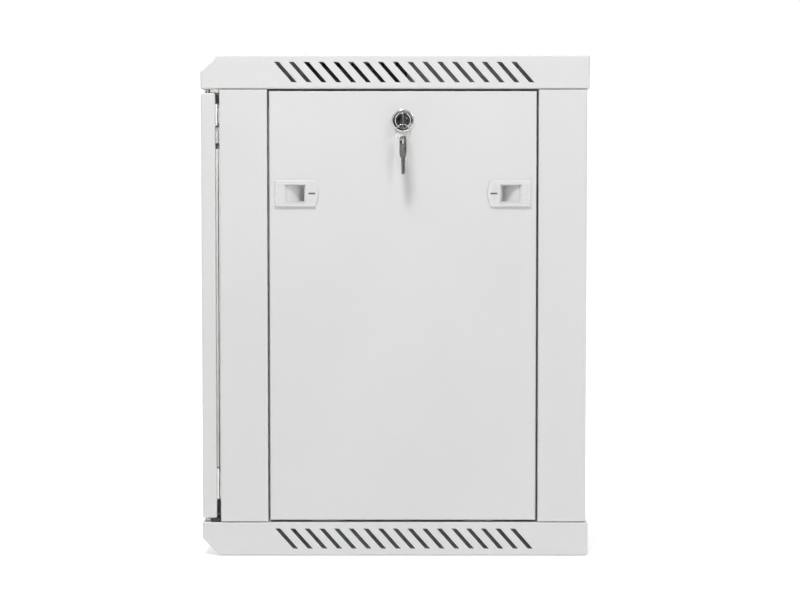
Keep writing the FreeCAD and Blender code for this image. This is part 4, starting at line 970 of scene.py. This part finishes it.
def door_bumpers():
    """The thicker pads at the seal's ends: each has a rib across it and a thin pad beside it."""
    shape = bmesh.new()
    for low, high in bumper_boxes:
        is_low = low.z < HALF_WAY
        slanted_strip(shape, low, high, (5.0, 1.5) if is_low else (1.5, 4.0), 0.7)
        rib = low.z + 12 if is_low else high.z - 9
        rib_low, rib_high = (low.x - 0.7, low.y + 1.0, rib - 2.5), (high.x + 0.7, high.y, rib + 2.5)
        slanted_strip(shape, rib_low, rib_high, (1.5, 1.5), 0.5)
        inner, outer = mirrored(1 if low.x > 0 else -1, *THIN_PAD)
        pad_low, pad_high = (inner, post_front - 0.9, low.z + 1), (outer, post_front - 0.02, high.z)
        slanted_strip(shape, pad_low, pad_high, (2.5, 2.5), 0.35)
    stands_for = ["door_buffers"]
    finish_piece(
        "door_bumpers", shape, WORLD, "cabinet", "hinge_nylon", 40, foam, stands_for=stands_for
    )


def door_gasket():
    """A foam gasket stuck along the back of the door's folded edges."""
    # Each run's far side from the middle plane, its lower end and its upper end.
    runs = ((266, 57, 88), (263, 89, 411.2), (263, 416.4, 433), (266, 434, 456))
    shape = bmesh.new()
    for hand in (1, -1):
        for far, low, high in runs:
            inner, outer = mirrored(hand, 257.0, far)
            corners = ((inner, door_back - 0.01, low), (outer, door_back + 2.0, high))
            slanted_strip(shape, *corners, (0.4, 0.4), 0.5)
    finish_piece("door_gasket", shape, WORLD, "door", "hinge_nylon", 40, foam)


def roof_filter():
    """The dark dust mat that lies under the roof's grilles."""
    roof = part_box("top_cover")[1].z / MM
    half_width, front, back = 160, -103, 13
    shape = bmesh.new()
    rounded_box(shape, (-half_width, front, roof - 4.4), (half_width, back, roof - 1.35), 0.6)
    finish_piece("roof_filter", shape, WORLD, "cabinet", "black_rubber", 40, filter_mat)


hinge_sleeves()
hinge_block("hinge_block_high", door_high + 0.5, case_high - 0.02, "hinge_nylon")
# The lower block is black rubber as painted shade: it darkens the gap under the door's hinge end.
hinge_block("hinge_block_low_painted_shade", case_low + 0.02, door_low - 0.5, "black_rubber")
door_seal()
door_bumpers()
door_gasket()
roof_filter()


# ---- stage, light and camera ----


def lay_floor():
    """A pale floor whose glow is full on the cabinet's left and fades out past its right side."""
    mesh = bpy.data.meshes.new("floor")
    shape = bmesh.new()
    bmesh.ops.create_grid(shape, x_segments=2, y_segments=2, size=6.0)
    shape.to_mesh(mesh)
    shape.free()
    floor = bpy.data.objects.new("floor", mesh)
    floor.location.z = -0.4 * MM
    scene.collection.objects.link(floor)
    pale = Surface("pale_floor", (0.76, 0.76, 0.76), 0.85)
    pale.tint(pale.noise(3, 2), (0.75, 0.75, 0.75))
    pale.set(Emission_Color=(1, 1, 1, 1))
    parted = pale.node("ShaderNodeSeparateXYZ")
    pale.link(pale.place, parted.inputs[0])
    glow = pale.spread(parted.outputs["X"], 0.5, 0.0, from_low=-0.05, from_high=0.75)
    pale.link(glow, pale.shader.inputs["Emission Strength"])
    dress(floor, pale.material)


def light_the_air():
    """A white world that is dimmed towards the right side, so that the panel keeps its shading."""
    world = bpy.data.worlds.new("studio")
    scene.world = world
    world.use_nodes = True
    sky = world.node_tree
    background = sky.nodes["Background"]
    background.inputs["Strength"].default_value = 1.0
    direction = sky.nodes.new("ShaderNodeTexCoord").outputs["Generated"]
    parted = sky.nodes.new("ShaderNodeSeparateXYZ")
    sky.links.new(direction, parted.inputs[0])
    dimming = sky.nodes.new("ShaderNodeMapRange")
    dimming.interpolation_type = "SMOOTHSTEP"
    set_range(dimming, 0.0, 0.45, 1.06, 0.03)
    sky.links.new(parted.outputs["X"], dimming.inputs["Value"])
    sky.links.new(dimming.outputs["Result"], background.inputs["Color"])


def soft_light(name, place, target, size, power, card=False):
    """A square soft box; a card is seen only in what reflects it, such as the bright metal."""
    light = bpy.data.lights.new(name, "AREA")
    light.size = size
    light.energy = power
    lamp = bpy.data.objects.new(name, light)
    lamp.location = place
    lamp.visible_diffuse = not card
    lamp.rotation_euler = (Vector(target) - Vector(place)).to_track_quat("-Z", "Y").to_euler()
    scene.collection.objects.link(lamp)


def set_camera():
    """A long lens, square on to the right side and a little above its middle."""
    distance, pitch = 2.0, math.radians(3.0)
    lens = bpy.data.cameras.new("camera")
    lens.sensor_width = 36
    lens.lens = 89.45
    lens.clip_start = 0.05
    lens.clip_end = 60
    camera = bpy.data.objects.new("camera", lens)
    aim = Vector((0.270, 0.0049, 0.2593))
    camera.location = aim + Vector((math.cos(pitch), 0, math.sin(pitch))) * distance
    camera.rotation_euler = (aim - camera.location).to_track_quat("-Z", "Y").to_euler()
    scene.collection.objects.link(camera)
    scene.camera = camera


lay_floor()
light_the_air()
panel_middle = (0.27, 0.0, 0.42)
soft_light("overhead_light", (1.17, -0.20, 1.78), (0.27, 0.0, 0.35), 0.4, 24)
soft_light("key_light", (3.87, 2.37, 2.01), panel_middle, 0.75, 46)
soft_light("front_card", (2.6, 0.15, 0.6), panel_middle, 1.6, 9, card=True)
set_camera()
scene.view_settings.view_transform = "Standard"
